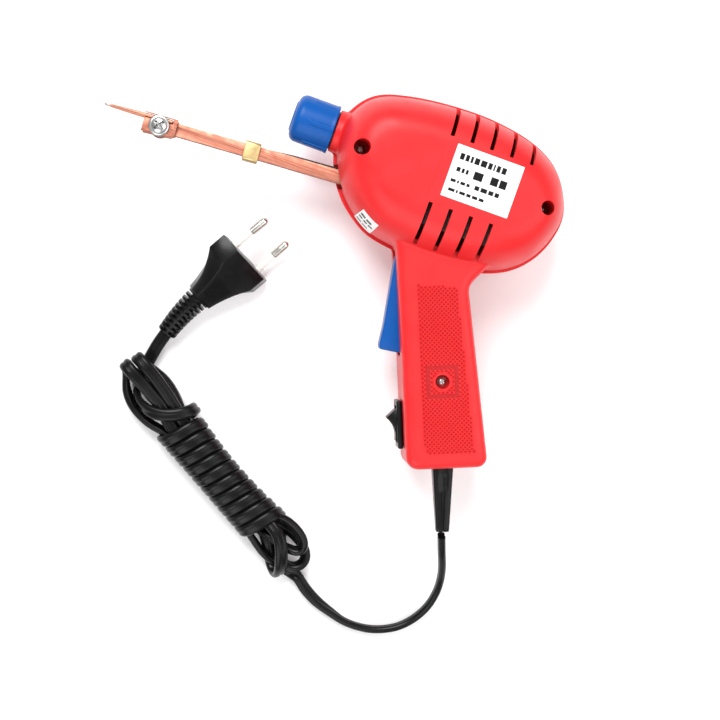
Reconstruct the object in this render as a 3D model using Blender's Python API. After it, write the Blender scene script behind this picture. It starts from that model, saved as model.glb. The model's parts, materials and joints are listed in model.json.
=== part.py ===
"""Pistol-type transformer soldering gun, lying on its side, with its mains cord tied in a hank.

Lengths are millimetres and become metres when a mesh is made. +Z points up off the table and z = 0 is the
table. X runs along the barrel, with the tip towards -X. Y runs from the grip up to the barrel. The two covers
meet at the plane z = SEAM.
"""

import math

import bmesh
import bpy
from mathutils import Matrix, Vector

MM = 0.001
GAP = 0.3
SEAM = 30.0
WALL = 2.4

# Body: a pillow-shaped dome over its outline at the seam, flat on top.
BODY_CENTRE = (-1.0, -2.0)
BODY_OUTLINE = [
    (52.3, -1.3), (48.7, 11.2), (40.3, 21.4), (27.2, 27.6), (8.5, 30.6), (-10.5, 30.4),
    (-28.9, 28.0), (-43.0, 23.5), (-51.0, 14.7), (-53.6, 3.5), (-51.0, -9.5), (-45.0, -20.5),
    (-35.5, -29.5), (-23.5, -35.3), (-2.0, -37.2), (20.0, -34.9), (37.0, -28.8), (47.8, -17.1),
]
DOME_POWER = 2.3
DOME_FLAT = 0.42
DOME_RINGS = 6
RIDGE = 0.45
LOWER_LIP = 1.4

# Small label on the body's edge: its span in points of BODY_OUTLINE, and how far up the dome it goes.
SMALL_LABEL_SPAN = (12.0, 12.82)
SMALL_LABEL_RISE = math.radians(38.0)

# Handle: a plate 36 thick. Corners are x, y and the radius that rounds them.
HANDLE_HALF = 18.0
HANDLE_FILLET = 4.0
HANDLE_CORNERS = [
    (-17.5, -15.0, 0.0), (-17.5, -27.0, 6.0), (-15.3, -35.0, 8.0), (-12.2, -41.0, 6.0),
    (23.3, -128.6, 5.5), (57.2, -115.2, 4.5), (21.9, -42.5, 7.0), (30.0, -26.0, 0.0), (30.0, -15.0, 0.0),
]
FRONT_TOP = Vector((-11.0, -43.9, 0.0))
FRONT_DOWN = Vector((0.375, -0.927, 0.0)).normalized()
FRONT_OUT = Vector((FRONT_DOWN.y, -FRONT_DOWN.x, 0.0))

# Screw wells: x, y, well radius and the height of the screw head's seat.
WELLS = {
    "front": (-43.3, -1.7, 3.6, 40.0),
    "rear": (41.7, 0.6, 3.2, 40.0),
    "handle": (24.9, -86.3, 3.2, 43.2),
}
WELL_WALL = 1.6
SCREW_FOOT = 16.0
SHANK_RADIUS = 1.5

# Vent slots: the x of each slot, the span of y that it crosses, and how near the seam it starts.
UPPER_VENTS = [-8.2, 0.85, 9.9, 19.2, 28.7]
LOWER_VENTS = [-7.4, 1.9, 11.2, 20.5]
UPPER_VENT_Y = (15.6, 40.0)
LOWER_VENT_Y = (-33.2, -14.4)
UPPER_VENT_START = 7.0
LOWER_VENT_START = 18.4
VENT_WIDTH = 1.9

# Openings between the covers: the window for the arms, and how far down the handle's front edge the slots for
# the trigger and the switch reach.
ARM_WINDOW_X = (-62.0, -43.5)
ARM_WINDOW_Y = (-20.5, -10.6)
TRIGGER_SLOT = (-6.6, 40.9)
SWITCH_SLOT = (62.0, 81.3)
SLOT_HALF = 6.5
CORE_RESTS_X = (-3.5, 16.0)
CLAMP_POST_RADIUS = 2.6
SPRING_POST_RADIUS = 2.4

# Lamp, its axis along X.
LAMP_Y = 3.4
COLLAR_RADIUS = 9.7
SOCKET_RADIUS = 8.6
CAP_RADIUS = 10.8
CAP_RIBS = 6

# Arms: two copper bars, one above the other, drooping slightly towards the tip.
ARM_ORIGIN = (-50.0, -15.7, SEAM)
ARM_SLOPE = math.radians(3.67)
ARM_FRONT = -87.6
BAR_WIDTH = 5.6
BAR_THICK = 3.0
BAR_OFFSET = 2.7
LOOP_OFFSET = 13.7
TIP_WIRE_Y = 2.5
TIP_WIRE_RADIUS = 0.85
TIP_WIRE_RADII = [0.85, 0.85, 0.85, 0.8, 0.65, 0.6]
TIP_SCREW = (-80.3, -0.6)
PLATE_THICK = 2.0

# Transformer: a shell core with its middle leg along Y.
CORE_X = (-8.0, 22.0)
CORE_Y = (-24.0, 14.0)
CORE_HALF = 22.0
CORE_LEG = 6.5

# Trigger and its pivot.
PIVOT = Vector((-8.0, -41.5, SEAM))
TRIGGER_HALF = 6.0
PIN_RADIUS = 1.5
PIN_HALF = 10.0

# Trigger switch and return spring, in a frame that starts where the plunger meets the trigger and points
# inwards.
SWITCH_CONTACT = Vector((2.75, -62.0, SEAM))
SWITCH_TURN = Matrix.Rotation(math.atan2(-FRONT_OUT.y, -FRONT_OUT.x), 3, "Z")
PLUNGER_RADIUS = 1.45
SPRING_Y = -13.5
SPRING_START = 1.0
SPRING_LENGTH = 9.6
SPRING_RADIUS = 1.9
SPRING_POST = SWITCH_CONTACT + SWITCH_TURN @ Vector((SPRING_START + SPRING_LENGTH + 3.1, SPRING_Y, 0.0))

# Power switch, in the front of the handle.
ROCKER_CENTRE = (15.87, -110.3, SEAM)
FLANGE_HALF = (10.8, 7.5)
CASE_HALF = (9.3, 6.1)
ROCKER_TILT = math.radians(19.0)
ROCKER_PIVOT = -1.0
ROCKER_TIP = (6.7, 5.7)
ROCKER_DIP = 1.7

# Strain relief, where the cord leaves the bottom of the handle.
RELIEF_ORIGIN = (39.5, -121.97, SEAM)
RELIEF_DOWN = Vector((0.334, -0.943, 0.0)).normalized()
RELIEF_LENGTH = 30.0
CLAMP_X = -7.1
CLAMP_SCREW_Y = 6.2

# Mains cord: a flat twin cord, its hank and its plug.
CORD_RADIUS = 3.0
CORD_LEAD = [
    (50.0, -152.3, 29.6), (53.2, -159.6, 25.2), (56.0, -165.6, 20.0), (58.1, -172.4, 14.2),
    (59.0, -180.0, 9.4), (57.7, -188.8, 5.6), (53.4, -196.9, 3.6), (46.6, -203.2, 3.2),
    (36.4, -207.4, 3.2), (24.8, -208.0, 3.2), (16.0, -205.8, 3.2), (8.2, -203.0, 3.2),
    (1.3, -199.3, 3.2), (-3.9, -195.2, 3.2),
]
CORD_TAIL = [(-97.9, -107.2, 5.6), (-98.8, -110.0, 5.3), (-99.8, -113.6, 5.1), (-100.5, -117.0, 5.0)]
HANK_START = (-111.7, -127.2)
HANK_END = (-1.0, -191.1)
HANK_WIDTH = 24.0
HANK_HEIGHT = 19.0
PLUG_FRONT = Vector((-75.1, -63.2, 12.7))
PLUG_HEADING = Vector((0.504, 0.864, 0.0)).normalized()
PLUG_TILT = math.radians(4.7)
PLUG_ROLL = math.radians(36.0)
PLUG_BODY_LENGTH = 28.0
RELIEF_END = Vector((-97.7, -106.7, 5.9))
PIN_SPACING = 18.6
PIN_TIP_SPACING = 17.4


def clear_scene():
    for obj in list(bpy.data.objects):
        bpy.data.objects.remove(obj, do_unlink=True)


def material(name, colour, roughness, metallic=0.0):
    result = bpy.data.materials.new(name)
    result.use_nodes = True
    shader = result.node_tree.nodes["Principled BSDF"]
    shader.inputs["Base Color"].default_value = (*colour, 1.0)
    shader.inputs["Roughness"].default_value = roughness
    shader.inputs["Metallic"].default_value = metallic
    return result


def empty(name, origin, rotation=None, parent=None):
    """A frame that other objects hang on. The rotation is a 3 by 3 matrix."""
    result = bpy.data.objects.new(name, None)
    bpy.context.scene.collection.objects.link(result)
    result.parent = parent
    turn = (rotation or Matrix.Identity(3)).to_4x4()
    result.matrix_basis = Matrix.Translation(Vector(origin) * MM) @ turn
    return result


def new_object(name, points, faces, surface, parent=None):
    mesh = bpy.data.meshes.new(name)
    mesh.from_pydata([tuple(value * MM for value in point) for point in points], [], faces)
    shape = bmesh.new()
    shape.from_mesh(mesh)
    bmesh.ops.recalc_face_normals(shape, faces=shape.faces)
    shape.to_mesh(mesh)
    shape.free()
    mesh.materials.append(surface)
    mesh.shade_smooth()
    mesh.set_sharp_from_angle(angle=math.radians(35.0))
    result = bpy.data.objects.new(name, mesh)
    bpy.context.scene.collection.objects.link(result)
    result.parent = parent
    return result


def loft(name, rings, surface, parent=None, hollow=False):
    """A closed solid through rings of equal length. A hollow one joins its last ring to its first."""
    count = len(rings[0])
    points = [point for ring in rings for point in ring]
    faces = []
    if not hollow:
        last = (len(rings) - 1) * count
        faces = [tuple(range(count)), tuple(range(last, last + count))]
    for ring in range(len(rings) - (0 if hollow else 1)):
        here = ring * count
        there = (ring + 1) % len(rings) * count
        for i in range(count):
            j = (i + 1) % count
            faces.append((here + i, here + j, there + j, there + i))
    return new_object(name, points, faces, surface, parent)


def prism(name, outline, low, high, surface, parent=None):
    return loft(name, [[(x, y, z) for x, y in outline] for z in (low, high)], surface, parent)


def box(name, x, y, z, surface, parent=None):
    outline = [(x[0], y[0]), (x[1], y[0]), (x[1], y[1]), (x[0], y[1])]
    return prism(name, outline, z[0], z[1], surface, parent)


def circle(x, y, radius, sides):
    angles = [2.0 * math.pi * i / sides for i in range(sides)]
    return [(x + radius * math.cos(angle), y + radius * math.sin(angle)) for angle in angles]


def post(name, x, y, radius, low, high, surface, parent=None, sides=20):
    return prism(name, circle(x, y, radius, sides), low, high, surface, parent)


def turned(name, profile, surface, parent=None, hollow=False, sides=28):
    """A profile of (x, radius) points turned about the parent's X axis."""
    rings = [[(x, y, z) for y, z in circle(0.0, 0.0, radius, sides)] for x, radius in profile]
    return loft(name, rings, surface, parent, hollow)


def tube(name, path, section, surface, parent=None, up=(0.0, 0.0, 1.0)):
    """A solid along a path. section(i) gives the ring there as (sideways, upwards) points."""
    path = [Vector(point) for point in path]
    rings = []
    for i, point in enumerate(path):
        along = (path[min(i + 1, len(path) - 1)] - path[max(i - 1, 0)]).normalized()
        side = along.cross(Vector(up)).normalized()
        over = side.cross(along)
        rings.append([tuple(point + side * a + over * b) for a, b in section(i)])
    return loft(name, rings, surface, parent)


def spline(points, steps, closed=False):
    """Points on a Catmull-Rom curve through the given ones."""
    points = [Vector(point) for point in points]
    count = len(points)
    spans = count if closed else count - 1
    result = []
    for i in range(spans):
        if closed:
            a, b, c, d = (points[(i + k) % count] for k in (-1, 0, 1, 2))
        else:
            b, c = points[i], points[i + 1]
            a = points[i - 1] if i else 2.0 * b - c
            d = points[i + 2] if i + 2 < count else 2.0 * c - b
        for step in range(steps):
            t = step / steps
            bend = (2.0 * a - 5.0 * b + 4.0 * c - d) * t * t + (3.0 * b - a - 3.0 * c + d) * t ** 3
            result.append(0.5 * (2.0 * b + (c - a) * t + bend))
    if not closed:
        result.append(points[-1])
    return result


def rounded(corners, steps=5):
    """An outline through (x, y, radius) corners, each one rounded by an arc."""
    result = []
    for i, (x, y, radius) in enumerate(corners):
        corner = Vector((x, y))
        if radius == 0.0:
            result.append(tuple(corner))
            continue
        before = (Vector(corners[i - 1][:2]) - corner).normalized()
        after = (Vector(corners[(i + 1) % len(corners)][:2]) - corner).normalized()
        half = before.angle(after) / 2.0
        middle = corner + (before + after).normalized() * radius / math.sin(half)
        start = corner + before * radius / math.tan(half) - middle
        end = corner + after * radius / math.tan(half) - middle
        sweep = start.angle_signed(end)
        for step in range(steps + 1):
            result.append(tuple(middle + Matrix.Rotation(-sweep * step / steps, 2) @ start))
    return result


def inset(outline, distance):
    """The outline moved inwards. It runs anticlockwise or clockwise, and stays the same way round."""
    area = sum(a[0] * b[1] - b[0] * a[1] for a, b in zip(outline, outline[1:] + outline[:1]))
    inward = math.copysign(1.0, area)
    result = []
    for i, point in enumerate(outline):
        before = (Vector(point) - Vector(outline[i - 1])).normalized()
        after = (Vector(outline[(i + 1) % len(outline)]) - Vector(point)).normalized()
        along = (before + after).normalized()
        stretch = max(along.dot(before), 0.5)
        normal = Vector((-along.y, along.x)) * inward
        result.append(tuple(Vector(point) + normal * distance / stretch))
    return result


def combine(target, operation, tools):
    """Adds or cuts the tools, which aren't part of the model themselves."""
    for tool in tools:
        tool.hide_render = True
        tool.display_type = "WIRE"
        modifier = target.modifiers.new(tool.name, "BOOLEAN")
        modifier.operation = operation
        modifier.object = tool
    return target


def soften(obj, width, segments=2):
    modifier = obj.modifiers.new("soft_edges", "BEVEL")
    modifier.width = width * MM
    modifier.segments = segments
    modifier.limit_method = "ANGLE"
    modifier.angle_limit = math.radians(40.0)
    return obj


def body_outline(outward, steps=2):
    outline = [(point.x, point.y) for point in spline([(*p, 0.0) for p in BODY_OUTLINE], steps, closed=True)]
    return inset(outline, -outward) if outward else outline


def dome_ring(outline, height, side, start, angle):
    """The outline drawn in and lifted to one level of the dome.

    An angle of 0 is the seam, and pi / 2 is the flat top.
    """
    spread = DOME_FLAT + (1.0 - DOME_FLAT) * math.cos(angle) ** (2.0 / DOME_POWER)
    rise = math.sin(angle) ** (2.0 / DOME_POWER)
    z = SEAM + side * (start + (height - start) * rise)
    across = RIDGE + (1.0 - RIDGE) * spread
    centre_x, centre_y = BODY_CENTRE
    return [(centre_x + (x - centre_x) * across, centre_y + (y - centre_y) * spread, z) for x, y in outline]


def dome_rings(outline, height, side, start):
    """Rings of the dome from start at the seam to its flat top, which is height above the seam."""
    angles = [math.pi / 2.0 * ring / DOME_RINGS for ring in range(DOME_RINGS + 1)]
    return [dome_ring(outline, height, side, start, angle) for angle in angles]


def handle_rings(side):
    outline = rounded(HANDLE_CORNERS)
    rings = [[(x, y, SEAM - side * 0.5) for x, y in outline]]
    for step in range(5):
        angle = math.pi / 2.0 * step / 4
        z = SEAM + side * (HANDLE_HALF - HANDLE_FILLET + HANDLE_FILLET * math.sin(angle))
        rings.append([(x, y, z) for x, y in inset(outline, HANDLE_FILLET * (1.0 - math.cos(angle)) + 0.001)])
    return rings


def strip_along_front(start, end, outside, inside):
    """A four-cornered outline that straddles the handle's front edge between two distances down it."""
    corners = [(start, outside), (end, outside), (end, -inside), (start, -inside)]
    return [tuple((FRONT_TOP + FRONT_DOWN * s + FRONT_OUT * out).xy) for s, out in corners]


def cavity(name, side, outward, surface):
    """The hollow inside a cover, with the screw posts, the pin boss and the core's rests left standing."""
    past_seam = -1.0
    hollow = loft(name, dome_rings(body_outline(outward - WALL), SEAM - WALL, side, past_seam), surface)
    far = SEAM + side * (HANDLE_HALF - WALL)
    near = SEAM + side * past_seam
    outline = inset(rounded(HANDLE_CORNERS), WALL)
    handle = prism(name + "_handle", outline, min(near, far), max(near, far), surface)
    combine(hollow, "UNION", [handle])

    def span(low, high):
        ends = (SEAM + side * low, SEAM + side * high)
        return min(ends), max(ends)

    past_wall = SEAM + 1.0
    posts = []
    for label, (x, y, radius, _) in WELLS.items():
        reach = span(GAP / 2.0, past_wall)
        posts.append(post(f"{name}_{label}_post", x, y, radius + WELL_WALL, *reach, surface))
    posts.append(post(name + "_pin_boss", PIVOT.x, PIVOT.y, 3.4, *span(6.6, past_wall), surface))
    for i, x in enumerate(CORE_RESTS_X):
        reach = span(CORE_HALF + GAP, past_wall)
        posts.append(box(f"{name}_rest_{i}", (x, x + 1.6), (-12.0, 10.0), reach, surface))
    if side < 0:
        for i, (x, y) in enumerate(clamp_screw_places()):
            reach = span(6.3, past_wall)
            posts.append(post(f"{name}_clamp_post_{i}", x, y, CLAMP_POST_RADIUS, *reach, surface))
        reach = span(-5.0, past_wall)
        posts.append(post(name + "_spring_post", *SPRING_POST.xy, SPRING_POST_RADIUS, *reach, surface))
    return combine(hollow, "DIFFERENCE", posts)


def clamp_screw_places():
    middle = Vector(RELIEF_ORIGIN) + RELIEF_DOWN * CLAMP_X
    across = Vector((-RELIEF_DOWN.y, RELIEF_DOWN.x, 0.0))
    return [tuple((middle + across * offset).xy) for offset in (-CLAMP_SCREW_Y, CLAMP_SCREW_Y)]


def cover(name, side, surface):
    """One half of the housing. side is +1 for the upper cover and -1 for the lower one."""
    outward = 0.0 if side > 0 else LOWER_LIP
    tag = name + "_tool"

    def span(low, high):
        ends = (SEAM + side * low, SEAM + side * high)
        return min(ends), max(ends)

    shell = loft(name, dome_rings(body_outline(outward), SEAM, side, 0.0), surface)
    lamp_axis = empty(tag + "_lamp_axis", (0.0, LAMP_Y, SEAM))
    profile = [(-56.5, COLLAR_RADIUS), (-51.0, COLLAR_RADIUS), (-46.0, 11.5), (-41.0, 11.5)]
    adds = [
        loft(tag + "_handle", handle_rings(side), surface),
        turned(tag + "_collar", profile, surface, lamp_axis),
    ]
    combine(shell, "UNION", adds)

    bore = SOCKET_RADIUS + GAP
    slot_depth = span(-2.0, SLOT_HALF)
    cuts = [
        cavity(tag + "_cavity", side, outward, surface),
        box(tag + "_seam", (-80.0, 80.0), (-160.0, 60.0), span(-40.0, GAP / 2.0), surface),
        turned(tag + "_bore", [(-60.0, bore), (-48.8, bore)], surface, lamp_axis),
        box(tag + "_arm_window", ARM_WINDOW_X, ARM_WINDOW_Y, span(-2.0, 7.0), surface),
        prism(tag + "_trigger_slot", strip_along_front(*TRIGGER_SLOT, 8.0, 3.4), *slot_depth, surface),
        prism(tag + "_switch_slot", strip_along_front(*SWITCH_SLOT, 4.0, 4.0), *slot_depth, surface),
        post(tag + "_pin_hole", *PIVOT.xy, PIN_RADIUS + GAP, *span(-2.0, PIN_HALF + GAP), surface),
    ]
    relief = relief_frame(tag + "_relief_frame")
    cuts.append(box(tag + "_relief_slot", (-4.6, 4.0), (-4.6, 4.6), (-4.6, 4.6), surface, relief))
    for label, (x, y, radius, seat) in WELLS.items():
        hole = (SCREW_FOOT - 1.0, seat + 1.0) if side > 0 else (SCREW_FOOT - 1.0, SEAM + 2.0)
        cuts.append(post(f"{tag}_{label}_hole", x, y, SHANK_RADIUS + GAP, *hole, surface))
        if side > 0:
            cuts.append(post(f"{tag}_{label}_well", x, y, radius, seat, 2.2 * SEAM, surface, sides=28))
    half = VENT_WIDTH / 2.0
    past_dome = SEAM + 6.0
    for x in UPPER_VENTS:
        reach = span(UPPER_VENT_START, past_dome)
        cuts.append(box(f"{tag}_vent_u{x}", (x - half, x + half), UPPER_VENT_Y, reach, surface))
    for x in LOWER_VENTS:
        reach = span(LOWER_VENT_START, past_dome)
        cuts.append(box(f"{tag}_vent_l{x}", (x - half, x + half), LOWER_VENT_Y, reach, surface))
    if side < 0:
        for i, (x, y) in enumerate(clamp_screw_places()):
            cuts.append(post(f"{tag}_clamp_hole_{i}", x, y, 1.5, 16.5, 29.0, surface, sides=16))
    return combine(shell, "DIFFERENCE", cuts)


def screw(name, seat, head, shank, surface, parent=None, upwards=True):
    """A pan-head screw with a cross recess. Its head stands on the seat, and its shank goes the other way.

    head is its radius and height, and shank is its radius and length.
    """
    head_radius, head_height = head
    shank_radius, length = shank
    turn = Matrix.Identity(3) if upwards else Matrix.Rotation(math.pi, 3, "X")
    frame = empty(name + "_frame", seat, turn, parent)
    profile = [
        (-length, shank_radius * 0.5), (-length + 1.5, shank_radius), (0.0, shank_radius),
        (0.0, head_radius), (head_height * 0.45, head_radius), (head_height * 0.85, head_radius * 0.8),
        (head_height, head_radius * 0.45),
    ]
    rings = [[(x, y, z) for x, y in circle(0.0, 0.0, radius, 14)] for z, radius in profile]
    result = loft(name, rings, surface, frame)
    arm = head_radius * 0.58
    slot = head_radius * 0.14
    deep = (head_height * 0.45, head_height * 2.0)
    cross = [
        box(name + "_cross_a", (-arm, arm), (-slot, slot), deep, surface, frame),
        box(name + "_cross_b", (-slot, slot), (-arm, arm), deep, surface, frame),
    ]
    return combine(result, "DIFFERENCE", cross)


def stickers(paper):
    """A flat label on top of the body, and a small one that bends over its edge."""
    label = rounded([(-4.7, -10.1, 0.3), (26.0, -10.1, 0.3), (26.0, 13.4, 0.3), (-4.7, 13.4, 0.3)], 2)
    prism("rating_label", label, 2.0 * SEAM + 0.1, 2.0 * SEAM + 0.25, paper)
    steps = 8
    first, last = (round(place * steps) for place in SMALL_LABEL_SPAN)
    levels = [SMALL_LABEL_RISE * row / 5 for row in range(6)]
    sheets = []
    for lift in (0.35, 0.5):
        outline = body_outline(lift, steps)[first:last + 1]
        sheets.append([dome_ring(outline, SEAM + lift, 1, 1.0, angle) for angle in levels])
    rings = []
    for column in range(last - first + 1):
        under = [row[column] for row in sheets[0]]
        over = [row[column] for row in sheets[1]]
        rings.append(under + over[::-1])
    loft("seam_sticker", rings, paper)


def lamp(blue, glass, brass, black):
    axis = empty("lamp_axis", (0.0, LAMP_Y, SEAM))
    bore = SOCKET_RADIUS + 0.4
    cap_profile = [
        (-57.0, bore), (-73.0, bore), (-73.0, 5.0), (-76.2, 5.0), (-76.2, 6.6), (-75.6, 6.6), (-75.6, 7.2),
        (-75.1, 8.7), (-73.9, 9.9), (-72.0, CAP_RADIUS - 0.1), (-57.0, CAP_RADIUS),
    ]
    cap = turned("lamp_cap", cap_profile, blue, axis, hollow=True, sides=36)
    ribs = []
    for i in range(CAP_RIBS):
        angle = math.radians(6.0 + 360.0 / CAP_RIBS * i)
        frame = empty(f"rib_frame_{i}", (0.0, 0.0, 0.0), Matrix.Rotation(angle, 3, "X"), axis)
        ribs.append(box(f"rib_{i}", (-68.8, -57.3), (-0.9, 0.9), (10.2, CAP_RADIUS + 0.4), blue, frame))
    combine(cap, "UNION", ribs)
    socket = [
        (-50.8, 5.5), (-50.8, 2.8), (-49.3, 2.8), (-49.3, SOCKET_RADIUS),
        (-72.4, SOCKET_RADIUS), (-72.4, 5.5),
    ]
    turned("lamp_socket", socket, black, axis, hollow=True, sides=24)
    thread = [(-61.0 + 0.9 * i, 4.7 if i % 2 else 4.3) for i in range(9)]
    base = [(-62.3, 4.2), (-61.6, 4.7)] + thread + [(-53.4, 3.2), (-52.7, 2.4)]
    turned("lamp_bulb_base", base, brass, axis, sides=20)
    bulb = [(-62.6, 3.9), (-63.4, 4.3), (-66.5, 5.0), (-69.5, 4.9), (-71.2, 3.9), (-72.0, 2.4), (-72.3, 0.8)]
    turned("lamp_bulb", bulb, glass, axis, sides=20)
    turned("lamp_contact", [(-52.4, 1.6), (-51.4, 2.4), (-48.0, 2.4)], brass, axis, sides=14)


def arms(copper, brass, fibre, steel):
    frame = empty("arm_frame", ARM_ORIGIN, Matrix.Rotation(ARM_SLOPE, 3, "Z"))
    half = BAR_THICK / 2.0
    half_gap = BAR_OFFSET - half
    full = BAR_OFFSET + half
    corners = [
        (ARM_FRONT, BAR_OFFSET, 0.0), (9.0, BAR_OFFSET, 9.0), (30.0, LOOP_OFFSET, 9.0),
        (84.0, LOOP_OFFSET, 6.0), (84.0, -LOOP_OFFSET, 6.0), (30.0, -LOOP_OFFSET, 9.0),
        (9.0, -BAR_OFFSET, 9.0), (ARM_FRONT, -BAR_OFFSET, 0.0),
    ]
    middle = rounded(corners)
    inner = [(ARM_FRONT, half_gap)] + inset(middle, half)[1:-1] + [(ARM_FRONT, -half_gap)]
    outer = [(ARM_FRONT, full)] + inset(middle, -half)[1:-1] + [(ARM_FRONT, -full)]
    outline = inner + outer[::-1]
    rings = [[(x, y, z) for x, z in outline] for y in (-BAR_WIDTH / 2.0, BAR_WIDTH / 2.0)]
    bar = loft("secondary_bar", rings, copper, frame)
    hole = post("bar_hole", *TIP_SCREW, 2.0, -8.0, 8.0, copper, frame, sides=16)
    combine(bar, "DIFFERENCE", [hole])

    tongue = [(-41.8, -2.4), (6.0, -2.4), (6.0, 3.9), (-20.0, 3.7), (-33.0, 3.0), (-41.8, 2.4)]
    prism("arm_insulator", tongue, -half_gap + GAP, half_gap - GAP, fibre, frame)

    band = box("arm_band", (-41.7, -34.7), (-4.6, 4.3), (-full - 1.2, full + 1.2), brass, frame)
    soften(band, 0.7)
    gap_y = BAR_WIDTH / 2.0 + 0.4
    gap_z = full + GAP
    bore = box("band_bore", (-50.0, -30.0), (-gap_y, gap_y), (-gap_z, gap_z), brass, frame)
    combine(band, "DIFFERENCE", [bore])

    seat = full + GAP
    top = seat + PLATE_THICK
    outline = [(ARM_FRONT, 4.1), (-72.8, 4.1), (-72.6, -2.8), (-74.8, -4.1), (ARM_FRONT, -4.7)]
    slot_y = (TIP_WIRE_Y - TIP_WIRE_RADIUS - GAP, TIP_WIRE_Y + TIP_WIRE_RADIUS + GAP)
    reach = (-10.0, 10.0)
    for label, sign in (("upper", 1.0), ("lower", -1.0)):
        plate = prism(f"tip_clamp_plate_{label}", outline, sign * seat, sign * top, copper, frame)
        cuts = [
            box(f"plate_slot_{label}", (ARM_FRONT - 2.0, -74.6), slot_y, reach, copper, frame),
            post(f"plate_hole_{label}", *TIP_SCREW, 2.0, *reach, copper, frame, sides=16),
        ]
        combine(plate, "DIFFERENCE", cuts)
        place = (*TIP_SCREW, sign * (top + GAP))
        screw(f"tip_screw_{label}", place, (4.65, 2.7), (1.7, 4.6), steel, frame, upwards=sign > 0)

    height = seat + TIP_WIRE_RADIUS + 0.1
    route = [(-75.2, height), (-81.5, height), (-88.5, height), (-96.5, 3.5), (-103.4, 1.25), (-105.4, 0.75)]
    upper = [(x, TIP_WIRE_Y, z) for x, z in route]
    path = upper + [(-105.9, TIP_WIRE_Y, 0.0)] + [(x, y, -z) for x, y, z in upper[::-1]]
    radii = TIP_WIRE_RADII + [TIP_WIRE_RADII[-1]] + TIP_WIRE_RADII[::-1]
    tube("soldering_tip", path, lambda i: circle(0.0, 0.0, radii[i], 10), copper, frame, up=(0.0, 1.0, 0.0))


def transformer(steel, winding, nylon):
    core = box("transformer_core", CORE_X, CORE_Y, (SEAM - CORE_HALF, SEAM + CORE_HALF), steel)
    windows = []
    for side in (-1.0, 1.0):
        z = sorted((SEAM + side * CORE_LEG, SEAM + side * 15.6))
        windows.append(box(f"core_window_{side}", (-20.0, 40.0), (-17.5, 7.5), z, steel))
    combine(core, "DIFFERENCE", windows)

    bobbin = box("coil_bobbin", (-9.4, 23.4), (-17.0, 7.0), (SEAM - 7.9, SEAM + 7.9), nylon)
    flanges = []
    for i, y in enumerate((-17.0, 6.2)):
        flanges.append(box(f"flange_{i}", (-14.0, 28.0), (y, y + 0.8), (SEAM - 11.8, SEAM + 11.8), nylon))
    combine(bobbin, "UNION", flanges)
    bore = box("bobbin_bore", (-8.4, 22.4), (-20.0, 10.0), (SEAM - 6.9, SEAM + 6.9), nylon)
    combine(bobbin, "DIFFERENCE", [bore])

    outline = rounded([(-13.6, 18.7, 4.0), (27.6, 18.7, 4.0), (27.6, 41.3, 4.0), (-13.6, 41.3, 4.0)], 4)
    coil = loft("primary_winding", [[(x, y, z) for x, z in outline] for y in (-15.9, 5.9)], winding)
    combine(coil, "DIFFERENCE", [box("coil_bore", (-9.8, 23.8), (-20.0, 10.0), (21.8, 38.2), winding)])


def trigger(blue, steel, black):
    frame = empty("trigger_frame", PIVOT)
    points = [
        (-12.1, -39.4), (-11.8, -43.6), (-9.5, -56.6), (-7.1, -70.7), (-6.0, -80.0), (-5.3, -81.9),
        (2.7, -80.8), (8.4, -78.0), (9.0, -76.6), (-3.9, -45.0), (-4.4, -39.8), (-6.3, -37.9), (-9.6, -37.6),
    ]
    outline = [(x - PIVOT.x, y - PIVOT.y) for x, y in points]
    lever = prism("trigger", outline, -TRIGGER_HALF, TRIGGER_HALF, blue, frame)
    soften(lever, 0.8)
    combine(lever, "DIFFERENCE", [post("hub_hole", 0.0, 0.0, PIN_RADIUS + GAP, -9.0, 9.0, blue, frame)])
    post("trigger_pivot_pin", 0.0, 0.0, PIN_RADIUS, -PIN_HALF, PIN_HALF, steel, frame, sides=16)

    switch = empty("trigger_switch_frame", SWITCH_CONTACT, SWITCH_TURN)
    case = box("trigger_switch_case", (5.3, 14.4), (-9.0, 8.0), (-4.5, 4.5), black, switch)
    radius = PLUNGER_RADIUS + GAP
    bore = turned("plunger_bore", [(0.0, radius), (11.6, radius)], black, switch, sides=16)
    combine(case, "DIFFERENCE", [bore])
    plunger = [(0.62, 0.9), (1.1, PLUNGER_RADIUS), (7.4, PLUNGER_RADIUS)]
    turned("trigger_switch_plunger", plunger, black, switch, sides=16)

    coils = 4
    steps = 10
    spring = []
    for i in range(coils * steps + 1):
        angle = 2.0 * math.pi * i / steps
        x = SPRING_START + SPRING_LENGTH * i / (coils * steps)
        spring.append((x, SPRING_Y + SPRING_RADIUS * math.cos(angle), SPRING_RADIUS * math.sin(angle)))
    ring = circle(0.0, 0.0, 0.4, 5)
    tube("trigger_spring", spring, lambda i: ring, steel, switch, up=(1.0, 0.0, 0.0))


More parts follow.
